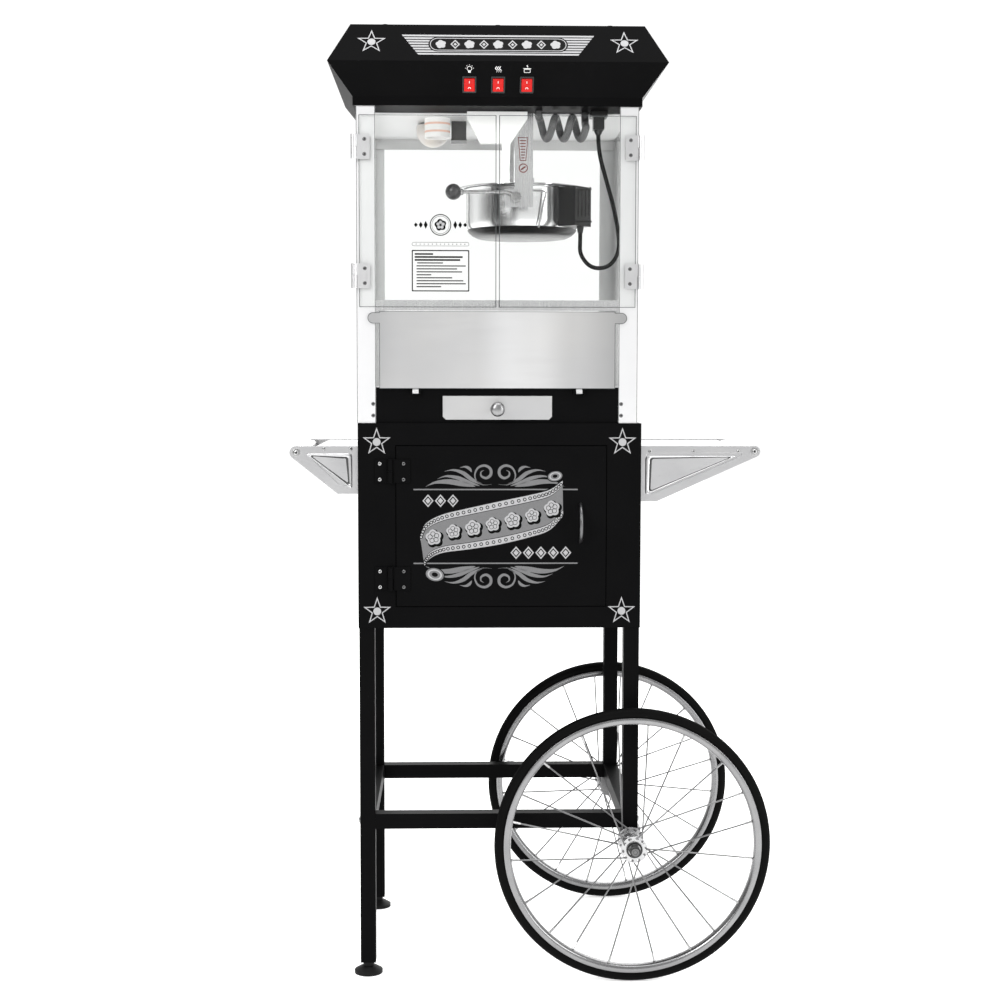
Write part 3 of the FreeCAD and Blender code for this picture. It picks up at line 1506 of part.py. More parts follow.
for item in doc.Objects:
    if "Invalid" in item.State or "Error" in item.State:
        raise RuntimeError(f"{item.Label} failed: {item.State}")
for item in SUB_PARTS:
    if item.Shape.isNull() or not item.Shape.isValid():
        raise RuntimeError(f"{item.Label} has no valid shape")

os.makedirs("parts", exist_ok=True)
for item in SUB_PARTS:
    item.Shape.exportStep(os.path.join("parts", item.Label + ".step"))
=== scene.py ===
"""Looks of the popcorn cart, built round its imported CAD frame. Metres, +Z up, the front faces -Y."""

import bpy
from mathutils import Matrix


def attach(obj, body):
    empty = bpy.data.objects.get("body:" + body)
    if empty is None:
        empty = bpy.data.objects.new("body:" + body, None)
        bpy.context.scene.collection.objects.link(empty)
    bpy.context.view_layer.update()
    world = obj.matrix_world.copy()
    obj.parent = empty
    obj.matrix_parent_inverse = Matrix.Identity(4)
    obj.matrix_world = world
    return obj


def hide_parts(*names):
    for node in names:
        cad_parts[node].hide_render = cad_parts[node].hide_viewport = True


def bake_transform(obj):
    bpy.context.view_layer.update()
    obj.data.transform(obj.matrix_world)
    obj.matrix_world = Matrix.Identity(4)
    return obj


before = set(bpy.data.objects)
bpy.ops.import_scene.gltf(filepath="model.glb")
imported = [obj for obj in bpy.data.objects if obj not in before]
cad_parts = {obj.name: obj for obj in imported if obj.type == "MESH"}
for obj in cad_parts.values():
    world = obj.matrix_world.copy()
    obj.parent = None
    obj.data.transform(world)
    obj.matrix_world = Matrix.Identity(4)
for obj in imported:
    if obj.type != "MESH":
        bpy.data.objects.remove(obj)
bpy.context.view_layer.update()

import math

import bmesh
import bpy
from mathutils import Matrix, Vector

# The parts' places and sizes are in millimetres, and piece() turns them into metres.
MM = 0.001
CART_X = -50.45
POPPER_X = -54.45
KETTLE_X = POPPER_X + 47.2
# A print's thickness.
INK = 0.1


# --- node trees -----------------------------------------------------------

class Graph:
    """The node tree of a material or of the world."""

    def __init__(self, owner):
        owner.use_nodes = True
        self.nodes = owner.node_tree.nodes
        self.links = owner.node_tree.links

    def feed(self, node, inputs):
        """Sets a node's inputs, or links them where the value is another node's output."""
        for socket, value in inputs.items():
            if isinstance(value, bpy.types.NodeSocket):
                self.links.new(value, node.inputs[socket])
            else:
                node.inputs[socket].default_value = value

    def add(self, kind, inputs=(), output=0, **settings):
        """Adds a node and gives one of its outputs."""
        node = self.nodes.new("ShaderNode" + kind)
        for setting, value in settings.items():
            setattr(node, setting, value)
        self.feed(node, dict(inputs))
        return node.outputs[output]

    def ramp(self, share, stops):
        """Greys at shares between 0 and 1, eased from each to the next."""
        colour = self.add("ValToRGB", {"Fac": share}, "Color")
        colour.node.color_ramp.interpolation = "EASE"
        elements = colour.node.color_ramp.elements
        while len(elements) < len(stops):
            elements.new(0.5)
        for element, (spot, grey) in zip(elements, stops):
            element.position = spot
            element.color = (grey, grey, grey, 1)
        return colour

    def turn(self, point):
        """A point's angle from +Y towards +X, as a share of the turn from -180 to 180 degrees."""
        across = self.add("SeparateXYZ", {"Vector": point}, "X")
        angle = self.add("Math", {0: across, 1: across.node.outputs["Y"]}, operation="ARCTAN2")
        return self.add("MapRange", {"Value": angle, "From Min": -math.pi, "From Max": math.pi}, "Result")


# --- camera, floor and light ----------------------------------------------

def make_camera():
    """The photographer's place: turned a little to the right and looking slightly down."""
    yaw = 0.02798
    pitch = 0.06996
    roll = 0.0014
    data = bpy.data.cameras.new("camera")
    data.sensor_width = 36
    data.lens = 60.78
    camera = bpy.data.objects.new("camera", data)
    bpy.context.collection.objects.link(camera)
    turned = Matrix.Rotation(-yaw, 4, "Z") @ Matrix.Rotation(math.pi / 2 - pitch, 4, "X")
    place = Matrix.Translation((-0.1276, -2.9660, 0.9915))
    camera.matrix_world = place @ turned @ Matrix.Rotation(roll, 4, "Z")
    bpy.context.scene.camera = camera


def area_light(name, place, target, width, height, power):
    data = bpy.data.lights.new(name, "AREA")
    data.shape = "RECTANGLE"
    data.size = width
    data.size_y = height
    data.energy = power
    light = bpy.data.objects.new(name, data)
    bpy.context.collection.objects.link(light)
    light.location = place
    light.rotation_mode = "QUATERNION"
    light.rotation_quaternion = (Vector(target) - Vector(place)).to_track_quat("-Z", "Y")
    light.visible_camera = False


# The studio wall's grey at angles round the cart, in degrees from straight behind it towards the right.
STUDIO_WALLS = (
    (-180, 0.7), (-166, 0.85), (-142, 0.5), (-118, 0.12), (-96, 0.4), (-70, 0.95), (-48, 0.7), (-34, 1.06),
    (180, 0.7),
)


def make_studio():
    """A pale studio: white behind the cart, with darker walls on its left for the metal to reflect."""
    bpy.context.scene.view_settings.view_transform = "Standard"
    world = bpy.data.worlds.new("studio")
    bpy.context.scene.world = world
    graph = Graph(world)
    share = graph.turn(graph.add("TexCoord", output="Generated"))
    walls = graph.ramp(share, [((degrees + 180) / 360, grey) for degrees, grey in STUDIO_WALLS])
    graph.feed(graph.nodes["Background"], {"Color": walls, "Strength": 1.04})

    floor_mesh = bpy.data.meshes.new("floor")
    reach = 14
    corners = [(-reach, -reach, 0), (reach, -reach, 0), (reach, reach, 0), (-reach, reach, 0)]
    floor_mesh.from_pydata(corners, [], [(0, 1, 2, 3)])
    floor = bpy.data.objects.new("floor", floor_mesh)
    bpy.context.collection.objects.link(floor)
    floor.location.z = -0.0005
    floor_mesh.materials.append(finish(
        "floor_paint", 0.93, None, 0.8, shine=0.1, Emission_Color=(1, 1, 1, 1), Emission_Strength=0.42,
    ))

    area_light("key", (-2.2, -3.0, 2.9), (0, 0, 0.9), 1.6, 2.2, 95)
    area_light("fill", (2.6, -2.2, 1.7), (0, 0, 0.8), 0.9, 2.6, 45)
    area_light("top", (0, -0.3, 4.2), (0, 0, 0.8), 3.2, 3.2, 130)
    area_light("back", (0.6, 3.4, 2.2), (0, 0, 0.9), 3.0, 2.4, 60)


# --- materials ------------------------------------------------------------

def opaque(colour):
    """A colour, or a grey given as one number, with its alpha."""
    return (*colour, 1) if isinstance(colour, tuple) else (colour, colour, colour, 1)


def finish(name, colour, tint, rough, spread=0.0, metal=0.0, spots=14, grain=900, bump=0.0, edge=0.0,
           shine=0.5, **sockets):
    """A procedural finish. Soft spots mix the tint into the colour. A fine grain, which may differ along each
    axis, spreads the roughness and raises a bump. Spots and grain are counted per metre. The bump's height
    and the radius to which sharp edges are softened are in millimetres."""
    material = bpy.data.materials.new(name)
    graph = Graph(material)
    shader = graph.nodes["Principled BSDF"]
    place = graph.add("TexCoord", output="Object")

    def noise(scale, detail):
        if not isinstance(scale, tuple):
            scale = (scale, scale, scale)
        stretched = graph.add("VectorMath", {0: place, 1: scale}, operation="MULTIPLY")
        return graph.add("TexNoise", {"Vector": stretched, "Scale": 1, "Detail": detail}, "Fac")

    graph.feed(shader, {"Base Color": opaque(colour), "Roughness": rough, "Metallic": metal,
                        "Specular IOR Level": shine})
    graph.feed(shader, {socket.replace("_", " "): value for socket, value in sockets.items()})
    if tint is not None:
        colours = {"A": opaque(colour), "B": opaque(tint), "Factor": noise(spots, 3)}
        graph.feed(shader, {"Base Color": graph.add("Mix", colours, "Result", data_type="RGBA")})
    fine = noise(grain, 2) if spread or bump else None
    if spread:
        limits = {"Value": fine, "To Min": rough - spread, "To Max": rough + spread}
        graph.feed(shader, {"Roughness": graph.add("MapRange", limits, "Result")})
    normal = {}
    if edge:
        normal = {"Normal": graph.add("Bevel", {"Radius": edge * MM}, "Normal", samples=4)}
    if bump:
        relief = {"Distance": bump * MM, "Strength": 1, "Height": fine, **normal}
        normal = {"Normal": graph.add("Bump", relief, "Normal")}
    graph.feed(shader, normal)
    return material


def shade(material, stops, centre_x=None):
    """Paints light and shade into a finish's colour by multiplying it by greys: across the part from left to
    right, or, with a centre in metres, by the angle round the upright axis there, from the back through the
    left, the front and the right."""
    graph = Graph(material)
    coordinate = graph.nodes["Texture Coordinate"]
    colour = graph.nodes["Principled BSDF"].inputs["Base Color"].links[0].from_socket
    if centre_x is None:
        share = graph.add("SeparateXYZ", {"Vector": coordinate.outputs["Generated"]}, "X")
    else:
        mirrored = {0: coordinate.outputs["Object"], 1: (1, -1, 1), 2: (-centre_x, 0, 0)}
        share = graph.turn(graph.add("VectorMath", mirrored, operation="MULTIPLY_ADD"))
    layers = {"Factor": 1, "A": colour, "B": graph.ramp(share, stops)}
    shaded = graph.add("Mix", layers, "Result", data_type="RGBA", blend_type="MULTIPLY")
    graph.feed(graph.nodes["Principled BSDF"], {"Base Color": shaded})


def pane_finish(name):
    """A thin clear sheet: what is behind it shows through, with a faint reflection that grows at a slant."""
    material = bpy.data.materials.new(name)
    graph = Graph(material)
    gloss = graph.nodes["Principled BSDF"]
    graph.feed(gloss, {"Base Color": (1, 1, 1, 1), "Metallic": 1, "Roughness": 0.03})
    clear = graph.add("BsdfTransparent", {"Color": (0.985, 0.988, 0.985, 1)})
    slant = graph.add("LayerWeight", {"Blend": 0.5}, "Facing")
    steep = graph.add("Math", {0: slant, 1: 4.5}, operation="POWER")
    share = graph.add("Math", {0: steep, 1: 0.9, 2: 0.008}, operation="MULTIPLY_ADD")
    sheet = graph.add("MixShader", {"Fac": share, 1: clear, 2: gloss.outputs["BSDF"]})
    graph.feed(graph.nodes["Material Output"], {"Surface": sheet})
    return material


ALONG_X = (40, 1400, 1400)
SHEET = dict(rough=0.36, spread=0.1, metal=1, spots=4.5, grain=(16, 1500, 1500), bump=0.02, edge=0.7)
POLISH = dict(rough=0.2, spread=0.03, metal=1, spots=20, grain=(60, 60, 2600), bump=0.008, edge=0.6,
              Anisotropic=0.85, Anisotropic_Rotation=0.25)
PLATED = dict(spread=0.08, metal=1, spots=160, grain=700, bump=0.01, edge=0.4)
PRINT = dict(spread=0.08, metal=0.1, spots=700, grain=2600, bump=0.01, shine=0.2)

BLACK_COAT = finish(
    "black_coat", (0.0024, 0.0024, 0.0025), (0.0036, 0.0036, 0.0038), 0.42, spread=0.06, bump=0.03,
    edge=0.8, shine=0.016,
)
FOOT_BLACK = finish(
    "foot_black", 0.003, 0.006, 0.5, spread=0.1, grain=1500, bump=0.04, edge=0.6, shine=0.12,
)
ZINC = finish("zinc_plate", (0.3, 0.3, 0.31), (0.42, 0.42, 0.41), 0.28, **PLATED)
DARK_ZINC = finish("dark_zinc", (0.1, 0.1, 0.102), 0.17, 0.3, **PLATED)
RIM_ALLOY = finish(
    "rim_alloy", (0.17, 0.17, 0.175), 0.29, 0.24, spread=0.06, metal=1, spots=24, grain=(300, 2500, 300),
    bump=0.006, edge=0.4,
)
HUB_ALLOY = finish(
    "hub_alloy", (0.34, 0.34, 0.35), 0.46, 0.26, spread=0.06, metal=1, spots=60, bump=0.006, edge=0.4,
)
SPOKE_STEEL = finish("spoke_steel", (0.1, 0.1, 0.103), 0.19, 0.3, metal=1, spots=90)
RUBBER = finish("tyre_rubber", 0.0015, 0.003, 0.6, spread=0.08, spots=40, grain=1600, bump=0.05, shine=0.04)
SHELF_ALLOY = finish(
    "shelf_alloy", (0.42, 0.42, 0.43), 0.56, 0.3, spread=0.05, metal=1, spots=12, grain=ALONG_X,
    bump=0.008, edge=0.9,
)
TRAY_ALLOY = finish(
    "tray_alloy", (0.26, 0.26, 0.265), 0.34, 0.4, spread=0.06, metal=0.6, grain=ALONG_X, bump=0.01,
    edge=0.9, shine=0.15,
)
BAR_ALLOY = finish(
    "bar_alloy", (0.3, 0.3, 0.305), 0.4, 0.28, spread=0.05, metal=1, spots=40, grain=(1400, 40, 1400),
    bump=0.008,
)
STAINLESS = finish("brushed_stainless", (0.38, 0.39, 0.41), (0.7, 0.69, 0.67), **SHEET)
FLAP_STEEL_PAINTED_SHEEN = finish("flap_stainless", (0.5, 0.51, 0.53), (0.72, 0.71, 0.69), **SHEET)
# Painted highlight and shade: the flap's colour is lifted just right of its middle and darkened towards both
# sides, standing in for a soft sheen of light across it.
shade(FLAP_STEEL_PAINTED_SHEEN, (
    (0.0, 0.72), (0.14, 0.84), (0.4, 0.92), (0.55, 1.15), (0.64, 1.1), (0.8, 0.86), (1.0, 0.64),
))
STAINLESS_UP = finish(
    "upright_stainless", (0.6, 0.6, 0.61), 0.72, 0.26, spread=0.06, metal=1, spots=16,
    grain=(1800, 1800, 24), bump=0.008, edge=0.5,
)
POST_ALLOY = finish(
    "anodised_post", (0.64, 0.64, 0.65), 0.7, 0.36, spread=0.05, metal=0.7, spots=12,
    grain=(1500, 1500, 18), bump=0.006, edge=1.2,
)
LEAF_STEEL = finish(
    "leaf_steel", (0.6, 0.6, 0.61), 0.72, 0.3, spread=0.06, metal=1, spots=60, grain=(1200, 1200, 60),
    bump=0.008, edge=0.6,
)
MIRROR = finish("polished_pan", (0.6, 0.6, 0.61), 0.7, **POLISH)
PAN_WALL_PAINTED_BANDS = finish("polished_wall", (0.84, 0.84, 0.85), 0.95, **POLISH)
# Painted reflections: light and dark upright bands round the pan, fixed to it, standing in for the studio
# reflected in the polished wall.
shade(PAN_WALL_PAINTED_BANDS, (
    (0.0, 0.3), (0.06, 1.0), (0.16, 0.25), (0.22, 0.9), (0.25, 0.2), (0.31, 1.0), (0.37, 0.95),
    (0.43, 0.16), (0.46, 0.3), (0.495, 1.0), (0.53, 1.0), (0.57, 0.7), (0.59, 0.3), (0.61, 1.0),
    (0.65, 0.1), (0.75, 0.6), (0.85, 0.12), (1.0, 0.3),
), centre_x=KETTLE_X * MM)
# Painted shade: a near-black skin laid over the pan's rounded foot, darker than the polished metal it covers.
PAN_FOOT_SHADE = finish(
    "pan_foot_shade", (0.012, 0.012, 0.0125), 0.03, 0.3, spread=0.06, metal=1, spots=60, grain=(60, 60, 2600),
    bump=0.012,
)
CLEAR = pane_finish("clear_pane")
SWITCH_RED = finish(
    "switch_red", (0.36, 0.005, 0.004), (0.48, 0.01, 0.008), 0.25, spread=0.03, spots=120, bump=0.006,
    edge=0.5, shine=0.2, Emission_Color=(1, 0.01, 0.005, 1), Emission_Strength=0.06,
)
WHITE_COVER = finish(
    "white_cover", (0.8, 0.8, 0.79), (0.86, 0.86, 0.85), 0.42, spread=0.06, spots=20, bump=0.02, edge=0.8,
)
BLACK_PLASTIC = finish(
    "black_plastic", (0.004, 0.004, 0.0042), (0.008, 0.008, 0.0082), 0.3, spread=0.06, spots=60,
    grain=1400, bump=0.02, edge=1.2, shine=0.4,
)
KNOB_BLACK = finish(
    "knob_black", (0.02, 0.02, 0.021), (0.035, 0.035, 0.036), 0.3, spread=0.05, spots=80, grain=1200,
    bump=0.01,
)
LEAD_BLACK = finish(
    "lead_black", 0.002, 0.005, 0.5, spread=0.08, spots=90, grain=1800, bump=0.03, shine=0.15,
)
LEAD_GREY = finish(
    "curly_lead_grey", (0.055, 0.055, 0.056), (0.11, 0.11, 0.112), 0.4, spread=0.06, spots=90, grain=1500,
    bump=0.02, shine=0.3,
)
PRESS_ALLOY = finish(
    "press_alloy", (0.42, 0.42, 0.43), 0.62, 0.3, spread=0.06, metal=1, grain=ALONG_X, bump=0.01,
)
# Painted shade for the pressed brackets' sunk panels.
PRESS_SHADE = finish("press_shade", (0.05, 0.05, 0.052), 0.1, 0.4, metal=1, spots=40)
JUNCTION_GREY = finish("junction_grey", 0.06, 0.1, 0.4, spread=0.06, spots=40, bump=0.02, shine=0.2)
DARK_METAL = finish(
    "dark_steel", (0.1, 0.1, 0.105), 0.16, 0.35, spread=0.08, metal=1, spots=90, bump=0.01, edge=0.4,
)
GREY_CEILING = finish(
    "ceiling_grey", 0.56, 0.64, 0.4, spread=0.07, spots=9, grain=(30, 1400, 1400), bump=0.01, edge=0.6,
)
# A near-black for thin lines: the glass doors' edges and the flap's shut gap, also used as painted shade
# round the flap and along the posts' edges.
EDGE_GREY = finish("pane_edge", (0.04, 0.045, 0.045), (0.08, 0.085, 0.085), 0.25, spots=60)
KNOB_STEEL = finish("turned_knob", (0.2, 0.2, 0.205), 0.3, 0.32, spread=0.04, metal=1, spots=60, bump=0.003)
SILVER_INK = finish("silver_ink", (0.27, 0.27, 0.275), (0.36, 0.36, 0.365), 0.42, **PRINT)
GREY_INK = finish("grey_ink", (0.1, 0.1, 0.102), (0.16, 0.16, 0.163), 0.45, **PRINT)
# Black print, also used as painted shade in screw recesses.
BLACK_INK_AND_SHADE = finish("black_ink_and_shade", 0.0015, 0.003, 0.4, spots=500, shine=0.05)
COPPER_INK = finish("copper_ink", (0.1, 0.014, 0.01), (0.17, 0.03, 0.02), 0.4, metal=0.1, spots=500)
ORANGE_INK = finish("orange_ink", (0.8, 0.5, 0.38), (0.86, 0.6, 0.5), 0.5, spots=400)
BULB_GLASS = finish(
    "frosted_bulb", (0.6, 0.56, 0.52), (0.7, 0.67, 0.64), 0.3, spots=24, Subsurface_Weight=0.2,
    Subsurface_Radius=(0.01, 0.008, 0.005),
)
SLEEVE_CARD = finish(
    "sleeve_card", (0.86, 0.84, 0.83), (0.92, 0.91, 0.9), 0.6, spread=0.08, spots=50, bump=0.03,
)

NODE_FINISHES = {
    BLACK_COAT: (
        "leg_front_left", "leg_rear_left", "leg_front_right", "leg_rear_right", "rails_front_rear",
        "rails_side", "cabinet_shell", "cabinet_door", "cabinet_hinge_leaves", "cabinet_door_leaves",
        "popper_base", "marquee",
    ),
    FOOT_BLACK: ("levelling_feet",),
    DARK_ZINC: ("axle", "axle_brackets"),
    HUB_ALLOY: ("hub_front", "hub_rear"),
    SHELF_ALLOY: ("brackets_left", "brackets_right"),
    TRAY_ALLOY: ("shelf_left", "shelf_right"),
    BAR_ALLOY: ("push_handle", "shelf_bar"),
    FLAP_STEEL_PAINTED_SHEEN: ("serving_flap",),
    STAINLESS: ("crumb_drawer", "corn_floor"),
    STAINLESS_UP: ("kettle_hangers", "door_rail"),
    POST_ALLOY: ("post_front_left", "post_front_right", "posts_rear"),
    LEAF_STEEL: ("post_hinge_leaves", "left_door_leaves", "right_door_leaves"),
    CLEAR: ("glass_sides", "glass_rear", "glass_door_left", "glass_door_right"),
    GREY_CEILING: ("ceiling_panel",),
    SWITCH_RED: ("rocker_left", "rocker_middle", "rocker_right"),
    WHITE_COVER: ("motor_shroud",),
    MIRROR: ("kettle_lid", "lid_flap", "agitator"),
    DARK_METAL: ("door_pull",),
    BLACK_PLASTIC: ("terminal_box", "kettle_plug"),
}


def dress_frame():
    for material, names in NODE_FINISHES.items():
        for name in names:
            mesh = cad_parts[name].data
            mesh.materials.clear()
            mesh.materials.append(material)


# --- shapes ---------------------------------------------------------------

def facing(x, y, z, out=(0, -1, 0), up=(0, 0, 1)):
    """A place whose own Z points out and whose own Y points up, with its origin at x, y, z."""
    outward = Vector(out).normalized()
    right = Vector(up).cross(outward).normalized()
    place = Matrix((right, outward.cross(right), outward)).transposed().to_4x4()
    place.translation = Vector((x, y, z))
    return place


class Shape:
    """Faces gathered for one piece."""

    def __init__(self):
        self.mesh = bmesh.new()

    def skin(self, rings, closed=False, caps=True):
        """Faces between rings of equally many points."""
        made = [[self.mesh.verts.new(point) for point in ring] for ring in rings]
        pairs = list(zip(made, made[1:]))
        if closed:
            pairs.append((made[-1], made[0]))
        count = len(made[0])
        for first, second in pairs:
            for index in range(count):
                after = (index + 1) % count
                self.mesh.faces.new((first[index], first[after], second[after], second[index]))
        if caps and not closed:
            self.mesh.faces.new(list(reversed(made[0])))
            self.mesh.faces.new(made[-1])

    def lathe(self, profile, place, steps=32, closed=False):
        """A profile of (radius, height) turned about the place's own Z."""
        rings = []
        for radius, height in profile:
            rings.append([place @ Vector((*spot, height)) for spot in circle(0, 0, radius, steps)])
        self.skin(rings, closed)

    def plate(self, outline, place, base=0.0, thick=INK):
        """A flat plate of the given outline, its foot at a height base above the place."""
        ends = (base, base + thick)
        self.skin([[place @ Vector((*spot, height)) for spot in outline] for height in ends])

    def band(self, outer, inner, place, base=0.0, thick=INK):
        """A flat frame between two outlines of equally many points."""
        top = base + thick
        loops = ((outer, base), (outer, top), (inner, top), (inner, base))
        rings = [[place @ Vector((*spot, height)) for spot in outline] for outline, height in loops]
        self.skin(rings, closed=True)

    def ring(self, x, y, outer, inner, steps, place, base=0.0, thick=INK):
        """A flat round ring."""
        self.band(circle(x, y, outer, steps), circle(x, y, inner, steps), place, base, thick)

    def bar(self, left, right, y, half, place):
        """A flat bar from left to right, reaching a half height above and below y."""
        self.plate([(left, y - half), (right, y - half), (right, y + half), (left, y + half)], place)

    def tube(self, points, radius, steps=10):
        """A round wire through points. radius is one number, or one for each point."""
        points = [Vector(point) for point in points]
        radii = radius if isinstance(radius, list) else [radius] * len(points)
        side = (points[1] - points[0]).orthogonal()
        rings = []
        for index, point in enumerate(points):
            ahead = (points[min(index + 1, len(points) - 1)] - points[max(index - 1, 0)]).normalized()
            side = (side - ahead * side.dot(ahead)).normalized()
            other = ahead.cross(side)
            rings.append([point + side * x + other * y for x, y in circle(0, 0, radii[index], steps)])
        self.skin(rings)


def piece(name, shape, material, body, stands_for=None, sharp=40):
    """Turns gathered faces into one named object that rides on a body and may stand for a CAD node."""
    bmesh.ops.recalc_face_normals(shape.mesh, faces=shape.mesh.faces)
    bmesh.ops.scale(shape.mesh, vec=(MM, MM, MM), verts=shape.mesh.verts)
    mesh = bpy.data.meshes.new(name)
    shape.mesh.to_mesh(mesh)
    shape.mesh.free()
    mesh.shade_smooth()
    mesh.set_sharp_from_angle(angle=math.radians(sharp))
    mesh.materials.append(material)
    made = bpy.data.objects.new(name, mesh)
    bpy.context.collection.objects.link(made)
    if body:
        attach(made, body)
    if stands_for:
        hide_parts(stands_for)
    return made


def circle(x, y, radius, steps=28):
    angles = [2 * math.pi * step / steps for step in range(steps)]
    return [(x + radius * math.cos(angle), y + radius * math.sin(angle)) for angle in angles]


def rounded_box(half_x, half_y, corner, x=0.0, y=0.0):
    """A rectangle's outline with round corners."""
    outline = []
    for quarter, (side_x, side_y) in enumerate(((1, 1), (-1, 1), (-1, -1), (1, -1))):
        arc = circle(x + side_x * (half_x - corner), y + side_y * (half_y - corner), corner, 20)
        outline += [arc[(5 * quarter + step) % 20] for step in range(6)]
    return outline


# --- fasteners ------------------------------------------------------------

def add_screw(metal, dark, place, radius=3.4, height=1.7):
    """A pan-head screw standing on the place's own plane, its cross recess drawn as two flat black bars of
    painted shade.
    """
    metal.lathe([
        (radius, 0), (radius, height * 0.35), (radius * 0.86, height * 0.75), (radius * 0.5, height),
        (0.01, height),
    ], place, steps=24)
    for turn in (20, 110):
        spin = place @ Matrix.Rotation(math.radians(turn), 4, "Z")
        dark.plate(rounded_box(radius * 0.56, radius * 0.12, radius * 0.1), spin, height, thick=0.12)


def add_bolt(metal, dark, place, radius=4.6, height=3.4):
    """A button-head bolt on a washer, its hexagon socket drawn as a flat black plate of painted shade."""
    metal.lathe([(radius + 2, 0), (radius + 2, 0.9), (radius + 1.4, 1.1), (radius, 1.1)], place, steps=36)
    metal.lathe([
        (radius, 1), (radius, 1.6), (radius * 0.84, height * 0.8), (radius * 0.55, height), (0.01, height),
    ], place, steps=36)
    dark.plate(circle(0, 0, radius * 0.42, steps=6), place, height, thick=0.12)


def fasteners(name, body, places, material, kind=add_screw, **sizes):
    metal = Shape()
    dark = Shape()
    for place in places:
        kind(metal, dark, place, **sizes)
    piece(name, metal, material, body)
    # The recesses are flat black plates: painted shade.
    piece(name + "_recess", dark, BLACK_INK_AND_SHADE, body)


# --- wheels ---------------------------------------------------------------

WHEEL_X = CART_X + 219.1
WHEEL_UP = 228.6
WHEEL_PLANE = 230
AXLE_END = 277
SPOKE_CIRCLE = 18.5
SPOKE_END = 201


def wheel_place(side, out=WHEEL_PLANE):
    return facing(WHEEL_X, side * out, WHEEL_UP, out=(0, side, 0))


def make_tyre(name, side):
    """Round tyre with a flattened tread that has three shallow grooves."""
    middle = 219.1
    section = 9.5
    flat = 0.15
    groove_half = 0.75
    profile = []
    for out, across in circle(0, 0, section, 40):
        grooved = out > 0 and min(abs(across - at) for at in (-3.2, 0, 3.2)) < groove_half
        profile.append((middle + min(out, section - flat) - (0.5 if grooved else 0.0), across))
    tyre = Shape()
    tyre.lathe(profile, wheel_place(side), steps=160, closed=True)
    piece("tyre_cover_" + name, tyre, RUBBER, name + "_wheel", "tyre_" + name)


def make_rim(name, side):
    """Box-section rim: hooked edges, a brake track on each side and a shallow well on the inside."""
    half = [
        (201.0, 0.0), (201.2, 3.0), (202.0, 6.4), (203.6, 8.6), (205.2, 9.3), (206.0, 9.7), (212.0, 9.9),
        (213.0, 9.4), (212.6, 8.4), (210.9, 7.9), (210.4, 6.4), (209.7, 3.0), (209.6, 0.0),
    ]
    profile = half + [(radius, -across) for radius, across in reversed(half[1:-1])]
    rim = Shape()
    rim.lathe(profile, wheel_place(side), steps=160, closed=True)
    piece("rim_ring_" + name, rim, RIM_ALLOY, name + "_wheel", "rim_" + name)


def make_spokes(name, side):
    """Ten crossed spokes from each hub flange, each with a head, an elbow and a nipple in the rim."""
    place = wheel_place(side)
    spokes = Shape()
    nipples = Shape()
    step = 2 * math.pi / 10
    for flange in (-1, 1):
        for index in range(10):
            head_out, elbow_out, lean = (31.6, 26.0, 38) if index % 2 else (26.4, 32.0, -38)
            start = step * (index + 0.25 * flange)
            stop = start + math.radians(lean)
            hole = Vector((math.cos(start), math.sin(start), 0)) * SPOKE_CIRCLE
            end = Vector((SPOKE_END * math.cos(stop), SPOKE_END * math.sin(stop), 3 * flange))
            head = hole + Vector((0, 0, flange * head_out))
            elbow = hole + Vector((0, 0, flange * elbow_out))
            run = (end - elbow).normalized()
            spokes.tube([place @ point for point in (head, elbow, elbow + run * 2.2, end)], 1.3, steps=8)
            head_place = place @ Matrix.Translation(head)
            spokes.lathe([(0.01, -0.5), (1.9, -0.4), (2.0, 0.1), (0.01, 0.5)], head_place, steps=10)
            stretch = [place @ (end - run * back) for back in (13, 11.5, 2, 0)]
            nipples.tube(stretch, [1.5, 1.9, 1.9, 2.5], steps=8)
    piece("spoke_set_" + name, spokes, SPOKE_STEEL, name + "_wheel", "spokes_" + name)
    piece("nipples_" + name, nipples, ZINC, name + "_wheel")


def make_hub_seals(name, side):
    """Dark seals on the hub's ends, and black rings of painted shade where grooves are turned in the end of
    the axle and its nut.
    """
    seal = Shape()
    for end in (0, 180):
        base = wheel_place(side) @ Matrix.Rotation(math.radians(end), 4, "X")
        profile = [(10.2, 32.8), (13.2, 32.8), (13.3, 33.3), (12.2, 33.5), (10.2, 33.2)]
        seal.lathe(profile, base, steps=48, closed=True)
    piece("hub_seals_" + name, seal, BLACK_PLASTIC, name + "_wheel")
    groove = Shape()
    # Flush black rings: painted shade in the turned grooves.
    for outer, inner, steps in ((8.6, 6.9, 40), (3.6, 2.8, 32)):
        groove.ring(0, 0, outer, inner, steps, wheel_place(side, AXLE_END), base=-0.08)
    piece("axle_groove_" + name, groove, BLACK_PLASTIC, "root")


# --- ornament -------------------------------------------------------------
# Prints are thin plates. A print's base is its height above the surface, and each lies just above the one
# under it.

SIGN_TRIM = Vector((POPPER_X, -195, 1451))
SIGN_EDGE = Vector((POPPER_X, -233, 1501))
SIGN_ROOF = Vector((POPPER_X, -197.5, 1565))


def sign_place(low, high, x, up):
    """A place on the sign's front band between two edges, at x from its middle and up from the lower edge."""
    along = (high - low).normalized()
    return facing(*(low + Vector((x, 0, 0)) + along * up), out=(0, -along.z, along.y), up=along)


def star_outline(radius):
    points = []
    for step in range(10):
        angle = math.radians(90 + 36 * step)
        reach = radius * (0.4 if step % 2 else 1)
        points.append((reach * math.cos(angle), reach * math.sin(angle)))
    return points


